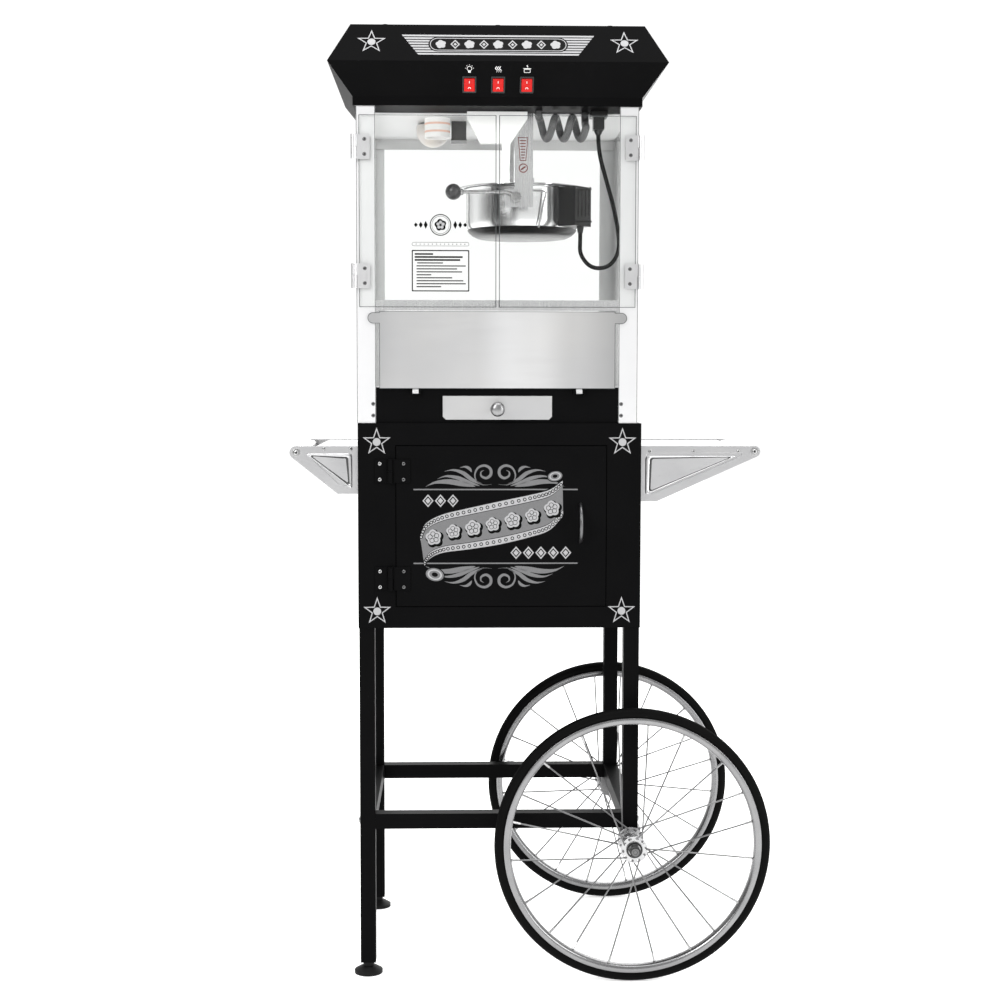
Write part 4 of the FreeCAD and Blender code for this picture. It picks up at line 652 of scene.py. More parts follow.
def make_stars():
    """Open five-point stars with a disc in the middle, four on the cabinet and two on the sign."""
    cabinet = [facing(CART_X + x, -194, z) for x in (-202, 202) for z in (892.6, 613)]
    sign = [sign_place(SIGN_EDGE, SIGN_ROOF, x, 37.7) for x in (-203, 203)]
    radius = 24
    for name, places in (("cabinet_stars", cabinet), ("sign_stars", sign)):
        stars = Shape()
        for place in places:
            stars.band(star_outline(radius), star_outline(radius - 4.95), place, thick=0.12)
            stars.plate(circle(0, 0, radius * 0.27), place, thick=0.12)
        piece(name, stars, SILVER_INK, "root")


def diamond(x, y, half_x, half_y):
    return [(x + half_x, y), (x, y + half_y), (x - half_x, y), (x, y - half_y)]


def puff(x, y, size):
    """A popped kernel's outline: five round lobes about a middle."""
    outline = []
    for step in range(60):
        angle = 2 * math.pi * step / 60
        reach = size * (0.78 + 0.2 * abs(math.sin(2.5 * angle + 0.4)))
        outline.append((x + reach * math.cos(angle), y + reach * math.sin(angle)))
    return outline


def make_name_plate():
    """Striped wings with a row of puffed kernels and diamonds across their middle, in place of a name."""
    place = sign_place(SIGN_EDGE, SIGN_ROOF, 0, 0)
    low, high = 12.5, 54.5
    middle = 33.5
    count = 8
    pitch = (high - low) / count
    lean = (156 - 128) / (high - low)
    stripes = Shape()
    for index in range(count):
        foot = low + index * pitch
        top = foot + pitch * 0.62
        half_foot, half_top = (128 + (up - low) * lean for up in (foot, top))
        wing = [(-half_foot, foot), (half_foot, foot), (half_top, top), (-half_top, top)]
        stripes.plate(wing, place, thick=0.12)
    piece("plate_stripes", stripes, SILVER_INK, "root")
    panel = Shape()
    panel.plate(rounded_box(112, 14.5, 14.4, 0, middle), place, base=0.15)
    piece("plate_panel", panel, BLACK_INK_AND_SHADE, "root")
    rim = Shape()
    above = 0.28
    outer, inner = rounded_box(109.5, 12.6, 12.5, 0, middle), rounded_box(108.3, 11.4, 11.3, 0, middle)
    rim.band(outer, inner, place, above)
    for index in range(-4, 5):
        x = index * 23.0
        if index % 2:
            rim.band(diamond(x, middle, 7.6, 9.0), diamond(x, middle, 5.2, 6.2), place, above)
            rim.plate(diamond(x, middle, 2.6, 3.1), place, above)
        else:
            rim.plate(puff(x, middle, 8.6), place, above)
    piece("plate_ornament", rim, SILVER_INK, "root")


def curve_points(corners, steps=24):
    """Points along a smooth curve through the corners."""
    points = []
    ends = [Vector(corner) for corner in (corners[0], *corners, corners[-1])]
    for before, start, stop, after in zip(ends, ends[1:], ends[2:], ends[3:]):
        for step in range(steps):
            share = step / steps
            points.append(tuple((
                start * 2 + (stop - before) * share
                + (before * 2 - start * 5 + stop * 4 - after) * share ** 2
                + (start * 3 - before - stop * 3 + after) * share ** 3
            ) * 0.5))
    return [*points, corners[-1]]


def add_ribbon(shape, first, second, place, base=0.0):
    """A flat strip between two lines of equally many points."""
    rings = []
    for one, other in zip(first, second):
        corners = ((*one, base), (*other, base), (*other, base + INK), (*one, base + INK))
        rings.append([place @ Vector(corner) for corner in corners])
    shape.skin(rings)


def add_leaf(shape, corners, width, place, blunt=0.0):
    """A tapering stroke along a curve, widest near two thirds of its length."""
    line = curve_points(corners)
    last = len(line) - 1
    left, right = [], []
    for index, (x, y) in enumerate(line):
        ahead = Vector(line[min(index + 1, last)]) - Vector(line[max(index - 1, 0)])
        side = Vector((-ahead.y, ahead.x)).normalized()
        share = index / last
        half = width / 2 * (math.sin(math.pi * share ** 1.4) * (1 - blunt) + blunt * share) + 0.12
        left.append((x + side.x * half, y + side.y * half))
        right.append((x - side.x * half, y - side.y * half))
    add_ribbon(shape, left, right, place)


# Each leaf is a line of corners and a width. Those given lie on the left above the banner.
FLOURISH = (
    (((-122, 819.3), (-106, 826), (-84, 827.5), (-60, 823.5), (-40, 819.5)), 8.5),
    (((-103, 832), (-88, 836.5), (-70, 834), (-52, 827), (-33, 820.5)), 6.2),
    (((-91, 844.5), (-76, 846.5), (-60, 841.5), (-46, 831), (-26, 821.5)), 6.4),
    (((-66, 850.5), (-57, 852), (-50, 849), (-46, 843)), 4.6),
    (((-13, 823), (-27, 822.5), (-38, 829), (-41, 839), (-36, 850), (-25, 854), (-15.5, 848.5), (-15, 839),
      (-22, 833.5), (-30, 836.5), (-31, 843), (-26, 846.5)), 4.4),
)
FLOURISH_X = -7.7
BANNER_UP = 753.5


def make_flourishes(place):
    """Scrolled leaves above and below the banner, the same on both hands, each group on a thin line."""
    ink = Shape()
    for corners, width in FLOURISH:
        for flip in (1, -1):
            for mirror in (1, -1):
                moved = [(FLOURISH_X + mirror * (x - FLOURISH_X), BANNER_UP + flip * (z - BANNER_UP))
                         for x, z in corners]
                add_leaf(ink, moved, width, place)
    for z in (814.6, 692.6):
        ink.bar(-142, 128.5, z, 1.1, place)
    piece("door_flourishes", ink, GREY_INK, "storage_door")


def height_at(line, x):
    """The line's height where it passes x."""
    for before, after in zip(line, line[1:]):
        if before[0] <= x <= after[0]:
            share = (x - before[0]) / (after[0] - before[0])
            return before[1] + (after[1] - before[1]) * share
    return line[-1][1]


def oval(x, y, half_x, half_y, lean):
    """An oval's outline, leaning by an angle in degrees."""
    turn = Matrix.Rotation(math.radians(lean), 2)
    return [tuple(turn @ Vector((half_x * a, half_y * b)) + Vector((x, y))) for a, b in circle(0, 0, 1, 36)]


BANNER_TOP = (
    (-131, 737), (-122, 758), (-95, 773), (-50, 784), (0, 795), (50, 805.5), (82, 814), (103.5, 829),
)
BANNER_LOW = (
    (-124, 689), (-113, 702), (-92, 710.5), (-50, 716), (0, 724), (50, 736), (82, 747.5), (104.5, 771),
)
# Middle, half sizes and lean of the rolled-up end at each side of the banner.
BANNER_ROLLS = ((-107, 674, 15, 10.5, -14), (91, 836.5, 12, 8, 10))


def make_banner(place):
    """A waving ribbon with a beaded border, curled ends and a row of puffed kernels in place of words."""
    top = curve_points(BANNER_TOP, steps=10)
    low = curve_points(BANNER_LOW, steps=10)

    def across(share):
        return [(a[0] + (b[0] - a[0]) * share, a[1] + (b[1] - a[1]) * share) for a, b in zip(low, top)]

    def strip(shape, from_share, to_share, base):
        add_ribbon(shape, across(from_share), across(to_share), place, base)

    def rolls(size, margin=0.0):
        return [oval(x, z, half_x * size + margin, half_z * size + margin, lean)
                for x, z, half_x, half_z, lean in BANNER_ROLLS]

    shadow, field, border, beads = Shape(), Shape(), Shape(), Shape()
    strip(shadow, -0.035, 1.035, 0.12)
    strip(field, 0.17, 0.83, 0.24)
    strip(border, 0.0, 0.155, 0.24)
    strip(border, 0.845, 1.0, 0.24)
    for share in (0.078, 0.922):
        for x, z in across(share)[2:-2:2]:
            beads.ring(x, z, 3.0, 1.7, 16, place, 0.34, thick=0.06)
    for outline in rolls(1, margin=1.6):
        shadow.plate(outline, place, 0.26)
    for outline in rolls(1):
        field.plate(outline, place, 0.38)
    for outer, inner in zip(rolls(0.8), rolls(0.62)):
        border.band(outer, inner, place, 0.5)
    for outline in rolls(0.34):
        beads.plate(outline, place, 0.5, thick=0.06)

    backs, puffs, folds = Shape(), Shape(), Shape()
    for index in range(7):
        x = -109 + 32.5 * index
        z = (height_at(top, x) + height_at(low, x)) / 2
        size = 12 if index % 2 else 13.5
        backs.plate(puff(x + 2.0, z - 2.2, size + 2.4), place, 0.36)
        puffs.plate(puff(x, z, size), place, 0.47)
        for turn in range(5):
            angle = 2 * math.pi * turn / 5 + 0.5
            fold_x = x + size * 0.42 * math.cos(angle)
            fold_z = z + size * 0.42 * math.sin(angle)
            folds.ring(fold_x, fold_z, size * 0.3, size * 0.24, 18, place, 0.58, thick=0.05)
    for name, shape, ink in (
        ("shadow", shadow, BLACK_INK_AND_SHADE), ("field", field, GREY_INK), ("border", border, SILVER_INK),
        ("beads", beads, BLACK_INK_AND_SHADE), ("puff_backs", backs, BLACK_INK_AND_SHADE), ("puffs", puffs, SILVER_INK),
        ("puff_folds", folds, BLACK_INK_AND_SHADE),
    ):
        piece("banner_" + name, shape, ink, "storage_door")

    diamonds = Shape()
    for start, count, z in ((-118, 3, 796), (27, 5, 710)):
        for index in range(count):
            x = start + index * 20.5
            diamonds.band(diamond(x, z, 9.2, 10.6), diamond(x, z, 6.6, 7.6), place)
            diamonds.plate(diamond(x, z, 4.3, 5.0), place)
    piece("door_diamonds", diamonds, SILVER_INK, "storage_door")


PANE_FRONT = -196.6
NOTICE_X = -93
EMBLEM_UP = 1245.5
CAPTION_UP = 1214.5
NOTICE_UP = 1171.5
# How far each line of the notice is set in, its length and half its height, from the top down.
NOTICE_LINES = (
    (0, 30, 1.3), (0, 78, 1.4), (0, 74, 1.4), (4, 42, 0.9), (3, 80, 0.9), (3, 66, 0.9), (3, 74, 0.9),
    (3, 24, 0.9), (3, 58, 0.9), (3, 76, 0.9), (3, 80, 0.9), (3, 40, 0.9),
)


def make_sticker():
    """A plain notice on the left pane: a framed block of bars, a dotted strip and a ringed popped kernel."""
    place = facing(POPPER_X, PANE_FRONT, 0)
    ink = Shape()
    for up, outer, inner in (
        (NOTICE_UP, (46.8, 33.5, 1.4), (45, 31.7, 1.0)),
        (CAPTION_UP, (46.5, 3.2, 3.1), (45.9, 2.6, 2.5)),
    ):
        ink.band(rounded_box(*outer, NOTICE_X, up), rounded_box(*inner, NOTICE_X, up), place)
    for index in range(-6, 7):
        ink.plate(circle(NOTICE_X + index * 6.6, CAPTION_UP, 0.8, 8), place)
    for index, (inset, length, half) in enumerate(NOTICE_LINES):
        left = NOTICE_X - 42 + inset
        ink.bar(left, left + length, 1198.5 - index * 4.8, half, place)
    ink.ring(NOTICE_X, EMBLEM_UP, 17.5, 16, 40, place)
    ink.ring(NOTICE_X, EMBLEM_UP, 14.4, 13.8, 40, place)
    for side in (-1, 1):
        for index in range(3):
            ink.plate(diamond(NOTICE_X + side * (24 + index * 8), EMBLEM_UP, 3.2, 6.6 - index * 1.4), place)
    ink.plate(puff(NOTICE_X, EMBLEM_UP, 10), place)
    piece("pane_notice", ink, BLACK_INK_AND_SHADE, "left_door")
    lobes = Shape()
    for turn in range(5):
        angle = 2 * math.pi * turn / 5 + 0.3
        spot = (NOTICE_X + 4.4 * math.cos(angle), EMBLEM_UP + 4.4 * math.sin(angle))
        lobes.plate(circle(*spot, 2.6, 18), place, 0.12, thick=0.06)
    piece("pane_notice_kernel", lobes, SILVER_INK, "left_door")


SWITCH_PITCH = 46.25
SWITCH_UP = 22.1
PICTURE_UP = 48.5


def make_switch_trim():
    """Bezels round the rockers, a bar and a ring on each rocker, and a small picture above each."""
    bezels = Shape()
    for index, hand in ((-1, "left"), (0, "middle"), (1, "right")):
        place = sign_place(SIGN_TRIM, SIGN_EDGE, index * SWITCH_PITCH, SWITCH_UP)
        bezels.band(rounded_box(11.2, 14.6, 1.6), rounded_box(9.1, 11.6, 0.8), place, thick=1.0)
        upper = place @ Matrix.Rotation(math.radians(-6), 4, "X")
        marks = Shape()
        marks.plate(rounded_box(0.45, 2.4, 0.4, 0, 5.6), upper, 2.75, thick=0.15)
        marks.ring(0, -5.6, 2.3, 1.5, 20, upper, 2.75, thick=0.15)
        piece("switch_marks_" + hand, marks, WHITE_COVER, "switch_" + hand)
    piece("switch_bezels", bezels, BLACK_PLASTIC, "root")

    icons = Shape()
    middles = (-SWITCH_PITCH, 0, SWITCH_PITCH)
    lamp, warmer, pan = (sign_place(SIGN_TRIM, SIGN_EDGE, x, PICTURE_UP) for x in middles)
    icons.ring(0, 1.5, 4.2, 3.4, 20, lamp)
    icons.plate(rounded_box(2.0, 1.3, 0.4, 0, -4.2), lamp)
    for turn in range(-2, 3):
        angle = math.radians(90 + turn * 42)
        icons.plate(circle(6.4 * math.cos(angle), 1.5 + 6.4 * math.sin(angle), 0.6, 8), lamp)
    for x in (-3.2, 0, 3.2):
        add_leaf(icons, [(x, -5), (x + 1.4, -1.5), (x - 1.4, 2), (x + 0.6, 5.5)], 1.2, warmer, blunt=0.6)
    icons.band(rounded_box(5.2, 3, 1, 0, -2.2), rounded_box(4.5, 2.3, 0.6, 0, -2.2), pan)
    icons.plate(rounded_box(6.2, 0.5, 0.4, 0, 2), pan)
    add_leaf(icons, [(0, 3.4), (1, 5), (-0.6, 6.6), (0.4, 8)], 1.1, pan, blunt=0.6)
    piece("switch_pictures", icons, WHITE_COVER, "root")


# --- screws ---------------------------------------------------------------

def both_sides(x, y, z):
    """Places at x and z on a front face and a rear face that stand y from the middle."""
    return [facing(x, side * y, z, out=(0, side, 0)) for side in (-1, 1)]


def make_fasteners():
    """Every screw and bolt that shows, each group riding on the body it is driven into."""
    hinge_up = [low + rise for low in (648, 825.5) for rise in (5.5, 31.5)]
    fixed_leaf = [facing(CART_X - 197, -196, z) for z in hinge_up]
    swung_leaf = [facing(CART_X - 158, -197, z) for z in hinge_up]
    fasteners("cabinet_hinge_screws", "root", fixed_leaf, ZINC, radius=3.2)
    fasteners("door_hinge_screws", "storage_door", swung_leaf, DARK_ZINC, radius=3.0)
    pane_up = [low + rise for low in (1143, 1350.5) for rise in (8, 32)]
    post_leaf = []
    post = []
    for side, hand in ((-1, "left"), (1, "right")):
        pane_leaf = [facing(POPPER_X + side * 216, -198.6, z) for z in pane_up]
        fasteners(f"{hand}_pane_screws", hand + "_door", pane_leaf, DARK_ZINC, radius=3.2, height=1.3)
        post_leaf += [facing(POPPER_X + side * 232, -179, z, out=(side, 0, 0)) for z in pane_up]
        for z in (936, 955):
            post += both_sides(POPPER_X + side * 203.5, 192, z)
    fasteners("post_leaf_screws", "root", post_leaf, DARK_ZINC, radius=3.1)
    fasteners("post_screws", "root", post, DARK_ZINC, radius=3.2, height=1.3)
    bracket = []
    for x, z in ((250.8, 876.5), (323.1, 876.5), (397.5, 876.5), (-246, 880.4), (-290, 880.4)):
        bracket += both_sides(CART_X + x, 170, z)
    fasteners("bracket_screws", "root", bracket, ZINC, radius=3.0)
    bar_end = both_sides(CART_X - 335.8, 170, 874) + both_sides(CART_X + 424.8, 170, 876)
    fasteners("bar_bolts", "root", bar_end, ZINC, kind=add_bolt)
    leg = []
    for side in (-1, 1):
        leg += [facing(CART_X + side * 231.8, y, 260.2, out=(side, 0, 0)) for y in (-180.1, 180.1)]
    fasteners("frame_bolts", "root", leg, ZINC, kind=add_bolt)
    cover = [facing(POPPER_X + x, -136, z) for x, z in ((-42, 1419), (43, 1419), (16.5, 1374))]
    fasteners("cover_screws", "root", cover, ZINC, radius=2.3, height=1.0)


# --- kettle ---------------------------------------------------------------

PIVOT_X = POPPER_X + 32
PIVOT_UP = 1297


def make_pan():
    """Spun pan with a rolled rim and a rounded foot, and its two pivot pins. A near-black skin over the foot
    is painted shade.
    """
    place = Matrix.Translation((KETTLE_X, 0, 0))
    outside = [(0.01, 1241), (66, 1241), (78, 1241.8), (86, 1245), (92.5, 1250.5), (96.6, 1258), (98, 1266),
               (98, 1280), (98, 1300), (98, 1318)]
    rim = [(98.6, 1320), (100.4, 1320.4), (101.8, 1321.2), (101.9, 1322.4), (100.8, 1323), (98, 1323)]
    inside = [(96.6, 1321.5), (96.5, 1300), (96.5, 1267), (95, 1259), (91.4, 1252), (85.6, 1247),
              (78, 1244.6), (66, 1244), (0.01, 1244)]
    pan = Shape()
    pan.lathe(outside + rim + inside, place, steps=160)
    for side in (-1, 1):
        pin = facing(PIVOT_X, side * 96, PIVOT_UP, out=(0, side, 0))
        pan.lathe([(5, 0), (5, 37.6), (4.4, 38.3), (0.01, 38.4)], pin, steps=28)
        pan.lathe([(9, 0.5), (9, 4), (8, 5), (5, 5.2)], pin, steps=28)
    # A near-black skin just outside the rounded foot, as painted shade under the pan.
    foot = Shape()
    foot.lathe([
        (0.01, 1240.4), (78, 1240.4), (86.4, 1244.2), (92.6, 1249.6), (95.4, 1253.6), (94.9, 1254.4),
        (92, 1250.6), (85.8, 1245.2), (78, 1241.3), (0.01, 1241.3),
    ], place, steps=160)
    piece("pan_foot_shade", foot, PAN_FOOT_SHADE, "kettle", sharp=28)
    piece("pan_shell", pan, PAN_WALL_PAINTED_BANDS, "kettle", "kettle_pan", sharp=28)


HANDLE_Y = -141
HANDLE_UP = 1305
BALL_RADIUS = 13.3


def make_handle():
    """Dump handle: ball, rod and boss in front of the hanger, and the wire bail on the pan."""
    ball = Shape()
    profile = []
    for step in range(25):
        angle = math.pi * step / 24 - math.pi / 2
        profile.append((max(BALL_RADIUS * math.cos(angle), 0.01), BALL_RADIUS * math.sin(angle)))
    ball.lathe(profile, Matrix.Translation((POPPER_X - 72, HANDLE_Y, HANDLE_UP)), steps=48)
    piece("handle_ball", ball, KNOB_BLACK, "kettle", "dump_handle")
    rod = Shape()
    drop = [(-60, 0), (10, 0), (18, -0.4), (23, -2), (27, -5), (32, -8)]
    rod.tube([(POPPER_X + x, HANDLE_Y, HANDLE_UP + z) for x, z in drop], 2.9, steps=16)
    collar = facing(POPPER_X - 59.5, HANDLE_Y, HANDLE_UP, out=(1, 0, 0))
    rod.lathe([(3, -2), (5.2, -2), (5.4, 2.5), (4, 4), (3, 4.2)], collar, steps=24, closed=True)
    piece("handle_rod", rod, ZINC, "kettle")
    boss = Shape()
    profile = [(8.9, 0), (8.9, 7.6), (8.2, 8.9), (6.4, 9.3), (0.01, 9.3)]
    boss.lathe(profile, facing(PIVOT_X, -134.6, PIVOT_UP), steps=36)
    piece("handle_boss", boss, ZINC, "kettle")
    bail = Shape()
    wire = [(16, -96.7, 1312), (17, -100.4, 1312.2), (22, -101.6, 1311.9), (32, -101.7, 1311.2),
            (36, -101.6, 1309.6), (35.6, -101.5, 1305), (30, -101, 1280), (25.6, -100.6, 1258),
            (24.6, -100.2, 1253.6), (24.2, -97.5, 1251.6)]
    bail.tube([(KETTLE_X + x, y, z) for x, y, z in wire], 1.6, steps=12)
    piece("handle_bail", bail, ZINC, "kettle")


def make_hanger_marks():
    """A tapered frame with bars and a ringed stroke on the front hanger."""
    place = facing(POPPER_X + 43.6, -132, 0)
    ink = Shape()
    outer = [(-8.4, 1396), (8.4, 1396), (5.2, 1357.5), (-5.2, 1357.5)]
    inner = [(-7.2, 1394.8), (7.2, 1394.8), (4.2, 1358.7), (-4.2, 1358.7)]
    ink.band(outer, inner, place)
    for index in range(7):
        half = 4.9 - index * 0.35
        ink.bar(-half, half, 1390.5 - index * 4.7, 0.8, place)
    ring_x, ring_up = 0.5, 1345.5
    ink.ring(ring_x, ring_up, 7.6, 6.0, 28, place)
    slant = place @ Matrix.Translation((ring_x, ring_up, 0)) @ Matrix.Rotation(math.radians(35), 4, "Z")
    ink.plate(rounded_box(4.6, 1.2, 0.6), slant)
    piece("hanger_marks", ink, COPPER_INK, "root")


TERMINAL_X = POPPER_X + 147
TERMINAL_FRONT = -101.8


def make_terminal_trim():
    """Ribs, a seam and two screws on the terminal box."""
    ribs = Shape()
    front = facing(TERMINAL_X, TERMINAL_FRONT, 1288)
    for x in (-9, -3, 3, 9):
        ribs.plate(rounded_box(1.1, 22, 0.8, x, 3), front, thick=0.9)
    ribs.plate(rounded_box(14, 1.6, 1.2, 0, -27.5), front, thick=1.2)
    piece("terminal_ribs", ribs, BLACK_PLASTIC, "kettle")
    places = [facing(TERMINAL_X + x, TERMINAL_FRONT, 1316) for x in (-11, 11)]
    fasteners("terminal_screws", "kettle", places, DARK_ZINC, radius=2.2, height=1.0)
    seam = Shape()
    seam.plate(rounded_box(14, 0.4, 0.3, 0, 26), front, thick=0.3)
    piece("terminal_seam", seam, BLACK_INK_AND_SHADE, "kettle")


# --- front and sides ------------------------------------------------------

def make_pane_edges():
    """The ground edges of the two glass doors, which show as thin dark lines."""
    for side, hand in ((-1, "left"), (1, "right")):
        edges = Shape()
        place = facing(POPPER_X + side * 113.9, PANE_FRONT, 1267.2)
        edges.band(rounded_box(111.4, 154.7, 0.8), rounded_box(110.4, 153.8, 0.6), place, thick=0.12)
        edges.plate(rounded_box(0.6, 154.5, 0.3, -side * 111.1, 0), place, thick=0.3)
        piece(f"{hand}_pane_edge", edges, EDGE_GREY, hand + "_door")


def make_knob():
    """The drawer's turned knob."""
    knob = Shape()
    knob.lathe([
        (5, 0), (5, 8), (8.5, 9.5), (11, 12), (12, 15.5), (11.9, 18.5), (10.6, 21.4), (8, 23.6), (4, 24.8),
        (0.01, 25.1),
    ], facing(POPPER_X, -195, 946.6), steps=48)
    piece("drawer_knob", knob, KNOB_STEEL, "drawer", sharp=30)


FLAP_HALF = 193
FLAP_LOW = 980
FLAP_HIGH = 1106
EAR_X = 203
EAR_UP = 1095
EAR_RADIUS = 9


def flap_outline(inset):
    """The flap's front outline with its two round ears, drawn in by an inset."""
    half, radius = FLAP_HALF - inset, EAR_RADIUS - inset
    right = [(half, FLAP_LOW + inset), (half, EAR_UP - radius)]
    for step in range(13):
        angle = math.pi * (step / 12 - 0.5)
        right.append((EAR_X + radius * math.cos(angle), EAR_UP + radius * math.sin(angle)))
    right += [(half, EAR_UP + radius), (half, FLAP_HIGH - inset)]
    return right + [(-x, z) for x, z in reversed(right)]


def make_outlines():
    """Dark lines round the flap, partly its shut gap and partly painted shadow under the door rail, and lines
    of painted shade along the front posts' edges.
    """
    flap = Shape()
    # Partly the flap's shut gap, partly painted shadow round it.
    flap.band(flap_outline(0), flap_outline(0.9), facing(POPPER_X, -195.5, 0), thick=0.12)
    piece("flap_outline", flap, EDGE_GREY, "flap")
    # Painted shade along both edges of each front post's face.
    posts = Shape()
    for side in (-1, 1):
        for x in (199.6, 229.4):
            posts.plate(rounded_box(0.4, 256, 0.2, side * x, 1180), facing(POPPER_X, -192, 0), thick=0.12)
    piece("post_edge_shade", posts, EDGE_GREY, "root")


def make_junction_cover():
    """Painted cover on the junction box under the ceiling, with a lip round its foot."""
    cover = Shape()
    place = Matrix.Translation((POPPER_X - 62.5, -20, 0))
    cover.plate(rounded_box(12.9, 20.4, 1.5), place, 1403.5, thick=33.4)
    cover.plate(rounded_box(13.6, 21.1, 2), place, 1403.2, thick=2.2)
    piece("junction_cover", cover, JUNCTION_GREY, "root")


def shrunk(outline, inset):
    """The same outline with every corner drawn in towards the middle by an inset."""
    middle = Vector((sum(x for x, y in outline), sum(y for x, y in outline))) / len(outline)
    points = []
    for point in outline:
        away = Vector(point) - middle
        points.append(tuple(middle + away * (1 - inset / away.length)))
    return points


def rounded_outline(corners, radius, steps=7):
    """A polygon with its corners rounded."""
    outline = []
    for index, spot in enumerate(corners):
        corner = Vector(spot)
        start = corner + (Vector(corners[index - 1]) - corner).normalized() * radius
        stop = corner + (Vector(corners[(index + 1) % len(corners)]) - corner).normalized() * radius
        for step in range(steps):
            share = step / (steps - 1)
            rest = 1 - share
            outline.append(tuple(start * rest ** 2 + corner * 2 * share * rest + stop * share ** 2))
    return outline


PRESS_CORNERS = {
    "left": ((-322, 872.5), (-243.5, 872.5), (-243.5, 813)),
    "right": ((242.5, 869), (396, 869), (242.5, 803)),
}
PRESS_LIP = ((0.0, 0.3), (1.5, 1.2), (3.6, 1.6), (5.7, 1.2), (7.5, 0.36))
# A flat dark band just inside the lip: painted shade of the sunk panel.
PRESS_SHADE_BAND = ((7.2, 0.37), (11.4, 0.37))


def make_bracket_presses():
    """The pressed triangle on each bracket's outer face: a rolled lip round a flat panel, with a dark band of
    painted shade just inside the lip.
    """
    for hand, corners in PRESS_CORNERS.items():
        panels, lips, shade_bands = Shape(), Shape(), Shape()
        for side in (-1, 1):
            place = facing(CART_X, side * 170, 0, out=(0, side, 0))
            outer = rounded_outline([(x * -side, z) for x, z in corners], 7)
            panels.plate(outer, place, thick=0.35)
            for shape, section in ((lips, PRESS_LIP), (shade_bands, PRESS_SHADE_BAND)):
                rings = []
                for inset, rise in section:
                    rings.append([place @ Vector((*spot, rise)) for spot in shrunk(outer, inset)])
                shape.skin(rings, caps=False)
        piece(f"press_panel_{hand}", panels, PRESS_ALLOY, "root")
        piece(f"press_lip_{hand}", lips, SHELF_ALLOY, "root")
        piece(f"press_shade_{hand}", shade_bands, PRESS_SHADE, "root")


# --- lamp and leads -------------------------------------------------------

LAMP_RADIUS = 28.9
LAMP_UP = 1424


def make_lamp():
    """Frosted lamp in its holder, with a banded card sleeve in front of it."""
    bulb = Shape()
    profile = [(0.01, LAMP_UP - LAMP_RADIUS)]
    for step in range(1, 20):
        angle = -math.pi / 2 + math.pi * 0.8 * step / 19
        height = LAMP_UP + LAMP_RADIUS * math.sin(angle)
        if height < 1435.3:
            profile.append((LAMP_RADIUS * math.cos(angle), height))
    bulb.lathe(profile, Matrix.Translation((POPPER_X - 107, -10, 0)), steps=64)
    piece("lamp_bulb", bulb, BULB_GLASS, "root", "lamp")
    sleeve = Shape()
    at = Matrix.Translation((POPPER_X - 99, -66, 0))
    wall = [(19.6, 1403.4), (21.3, 1403.1), (21.5, 1404), (21.5, 1436.8), (19.8, 1436.8)]
    sleeve.lathe(wall, at, steps=64, closed=True)
    piece("lamp_sleeve", sleeve, SLEEVE_CARD, "root")
    bands = Shape()
    for z in (1413, 1426):
        section = [(21.4, z - 1.6), (21.62, z - 1.6), (21.62, z + 1.6), (21.4, z + 1.6)]
        bands.lathe(section, at, steps=64, closed=True)
    piece("sleeve_bands", bands, ORANGE_INK, "root")


LEAD_POINTS = (
    (168, -140, 1399), (168, -140, 1374), (181, -133, 1330), (195, -124, 1286), (204, -116, 1246),
    (208, -108, 1212), (193, -99, 1185), (162, -92, 1182), (142, -87, 1206), (143, -84, 1231),
    (143, -84, 1254.6),
)


def smooth_line(name, points):
    """A curve object whose one NURBS spline has these control points."""
    data = bpy.data.curves.new(name, "CURVE")
    data.dimensions = "3D"
    data.resolution_u = 12
    spline = data.splines.new("NURBS")
    spline.points.add(len(points) - 1)
    for target, point in zip(spline.points, points):
        target.co = (*(Vector(point) * MM), 1)
    spline.order_u = 3
    spline.use_endpoint_u = True
    made = bpy.data.objects.new(name, data)
    bpy.context.collection.objects.link(made)
    return made


def line_points(points):
    """Points along that smooth line, in metres."""
    guide = smooth_line("guide", points)
    bpy.context.view_layer.update()
    mesh = bpy.data.meshes.new_from_object(guide)
    line = [vertex.co.copy() for vertex in mesh.vertices]
    bpy.data.objects.remove(guide)
    bpy.data.meshes.remove(mesh)
    return line


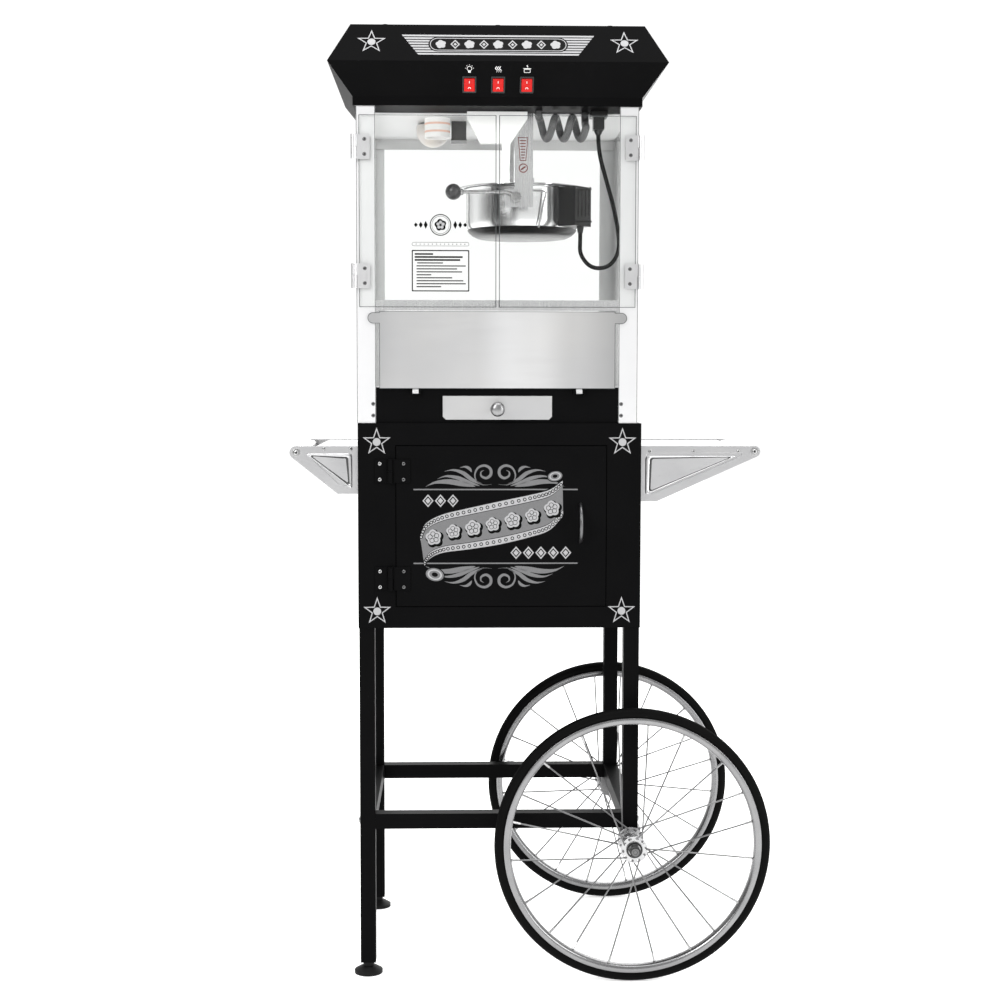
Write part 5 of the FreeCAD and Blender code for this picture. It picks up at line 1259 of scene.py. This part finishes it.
def make_kettle_lead():
    """The lead from the plug under the ceiling to the kettle's terminal box."""
    line = line_points([(POPPER_X + x, y, z) for x, y, z in LEAD_POINTS])
    lead = Shape()
    around = 16
    lead.tube([point / MM for point in line], 3.5, steps=around)
    made = piece("kettle_lead_flex", lead, LEAD_BLACK, None)
    # The skin's points are set on the lead's middle line for the bake and then put back.
    skin = [vertex.co.copy() for vertex in made.data.vertices]
    for index, vertex in enumerate(made.data.vertices):
        vertex.co = line[index // around]
    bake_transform(made)
    for vertex, spot in zip(made.data.vertices, skin):
        vertex.co = spot
    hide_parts("kettle_lead")
    collar = Shape()
    profile = [(3.6, 1243), (4.4, 1243), (5.4, 1249), (6.4, 1254.9), (3.6, 1254.9)]
    collar.lathe(profile, Matrix.Translation((POPPER_X + 143, -84, 0)), steps=28, closed=True)
    piece("lead_collar", collar, BLACK_PLASTIC, "kettle")


def make_curly_lead():
    """The curly lead: its coils lie along X between hanger and plug, and both ends go up into the sign."""
    turns = 2.75
    per_turn = 16
    left = POPPER_X + 69
    right = POPPER_X + 146
    centre_y = -147
    centre_z = 1409
    radius = 17.6
    count = round(turns * per_turn)
    points = [(left - 0.6, centre_y, 1436.8), (left - 0.3, centre_y, 1432)]
    for index in range(count + 1):
        angle = math.pi / 2 - 2 * math.pi * index / per_turn
        x = left + (right - left) * index / count
        points.append((x, centre_y + radius * math.cos(angle), centre_z + radius * math.sin(angle)))
    front = centre_y + radius
    points += [(right + 0.4, front, centre_z + 9), (right + 0.6, front, centre_z + 27.8)]
    made = smooth_line("curly_lead_flex", points)
    made.data.bevel_depth = 6.2 * MM
    made.data.bevel_resolution = 4
    made.data.use_fill_caps = True
    made.data.materials.append(LEAD_GREY)
    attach(made, "root")
    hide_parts("curly_lead")


# --- making ---------------------------------------------------------------

make_camera()
make_kettle_lead()
make_curly_lead()
make_studio()
dress_frame()
for hand, side in (("front", -1), ("rear", 1)):
    make_tyre(hand, side)
    make_rim(hand, side)
    make_spokes(hand, side)
    make_hub_seals(hand, side)
make_pan()
make_handle()
make_terminal_trim()
make_pane_edges()
make_knob()
make_junction_cover()
make_bracket_presses()
make_outlines()
make_lamp()
make_hanger_marks()
make_stars()
make_name_plate()
make_switch_trim()
door = facing(CART_X, -195, 0)
make_flourishes(door)
make_banner(door)
make_sticker()
make_fasteners()
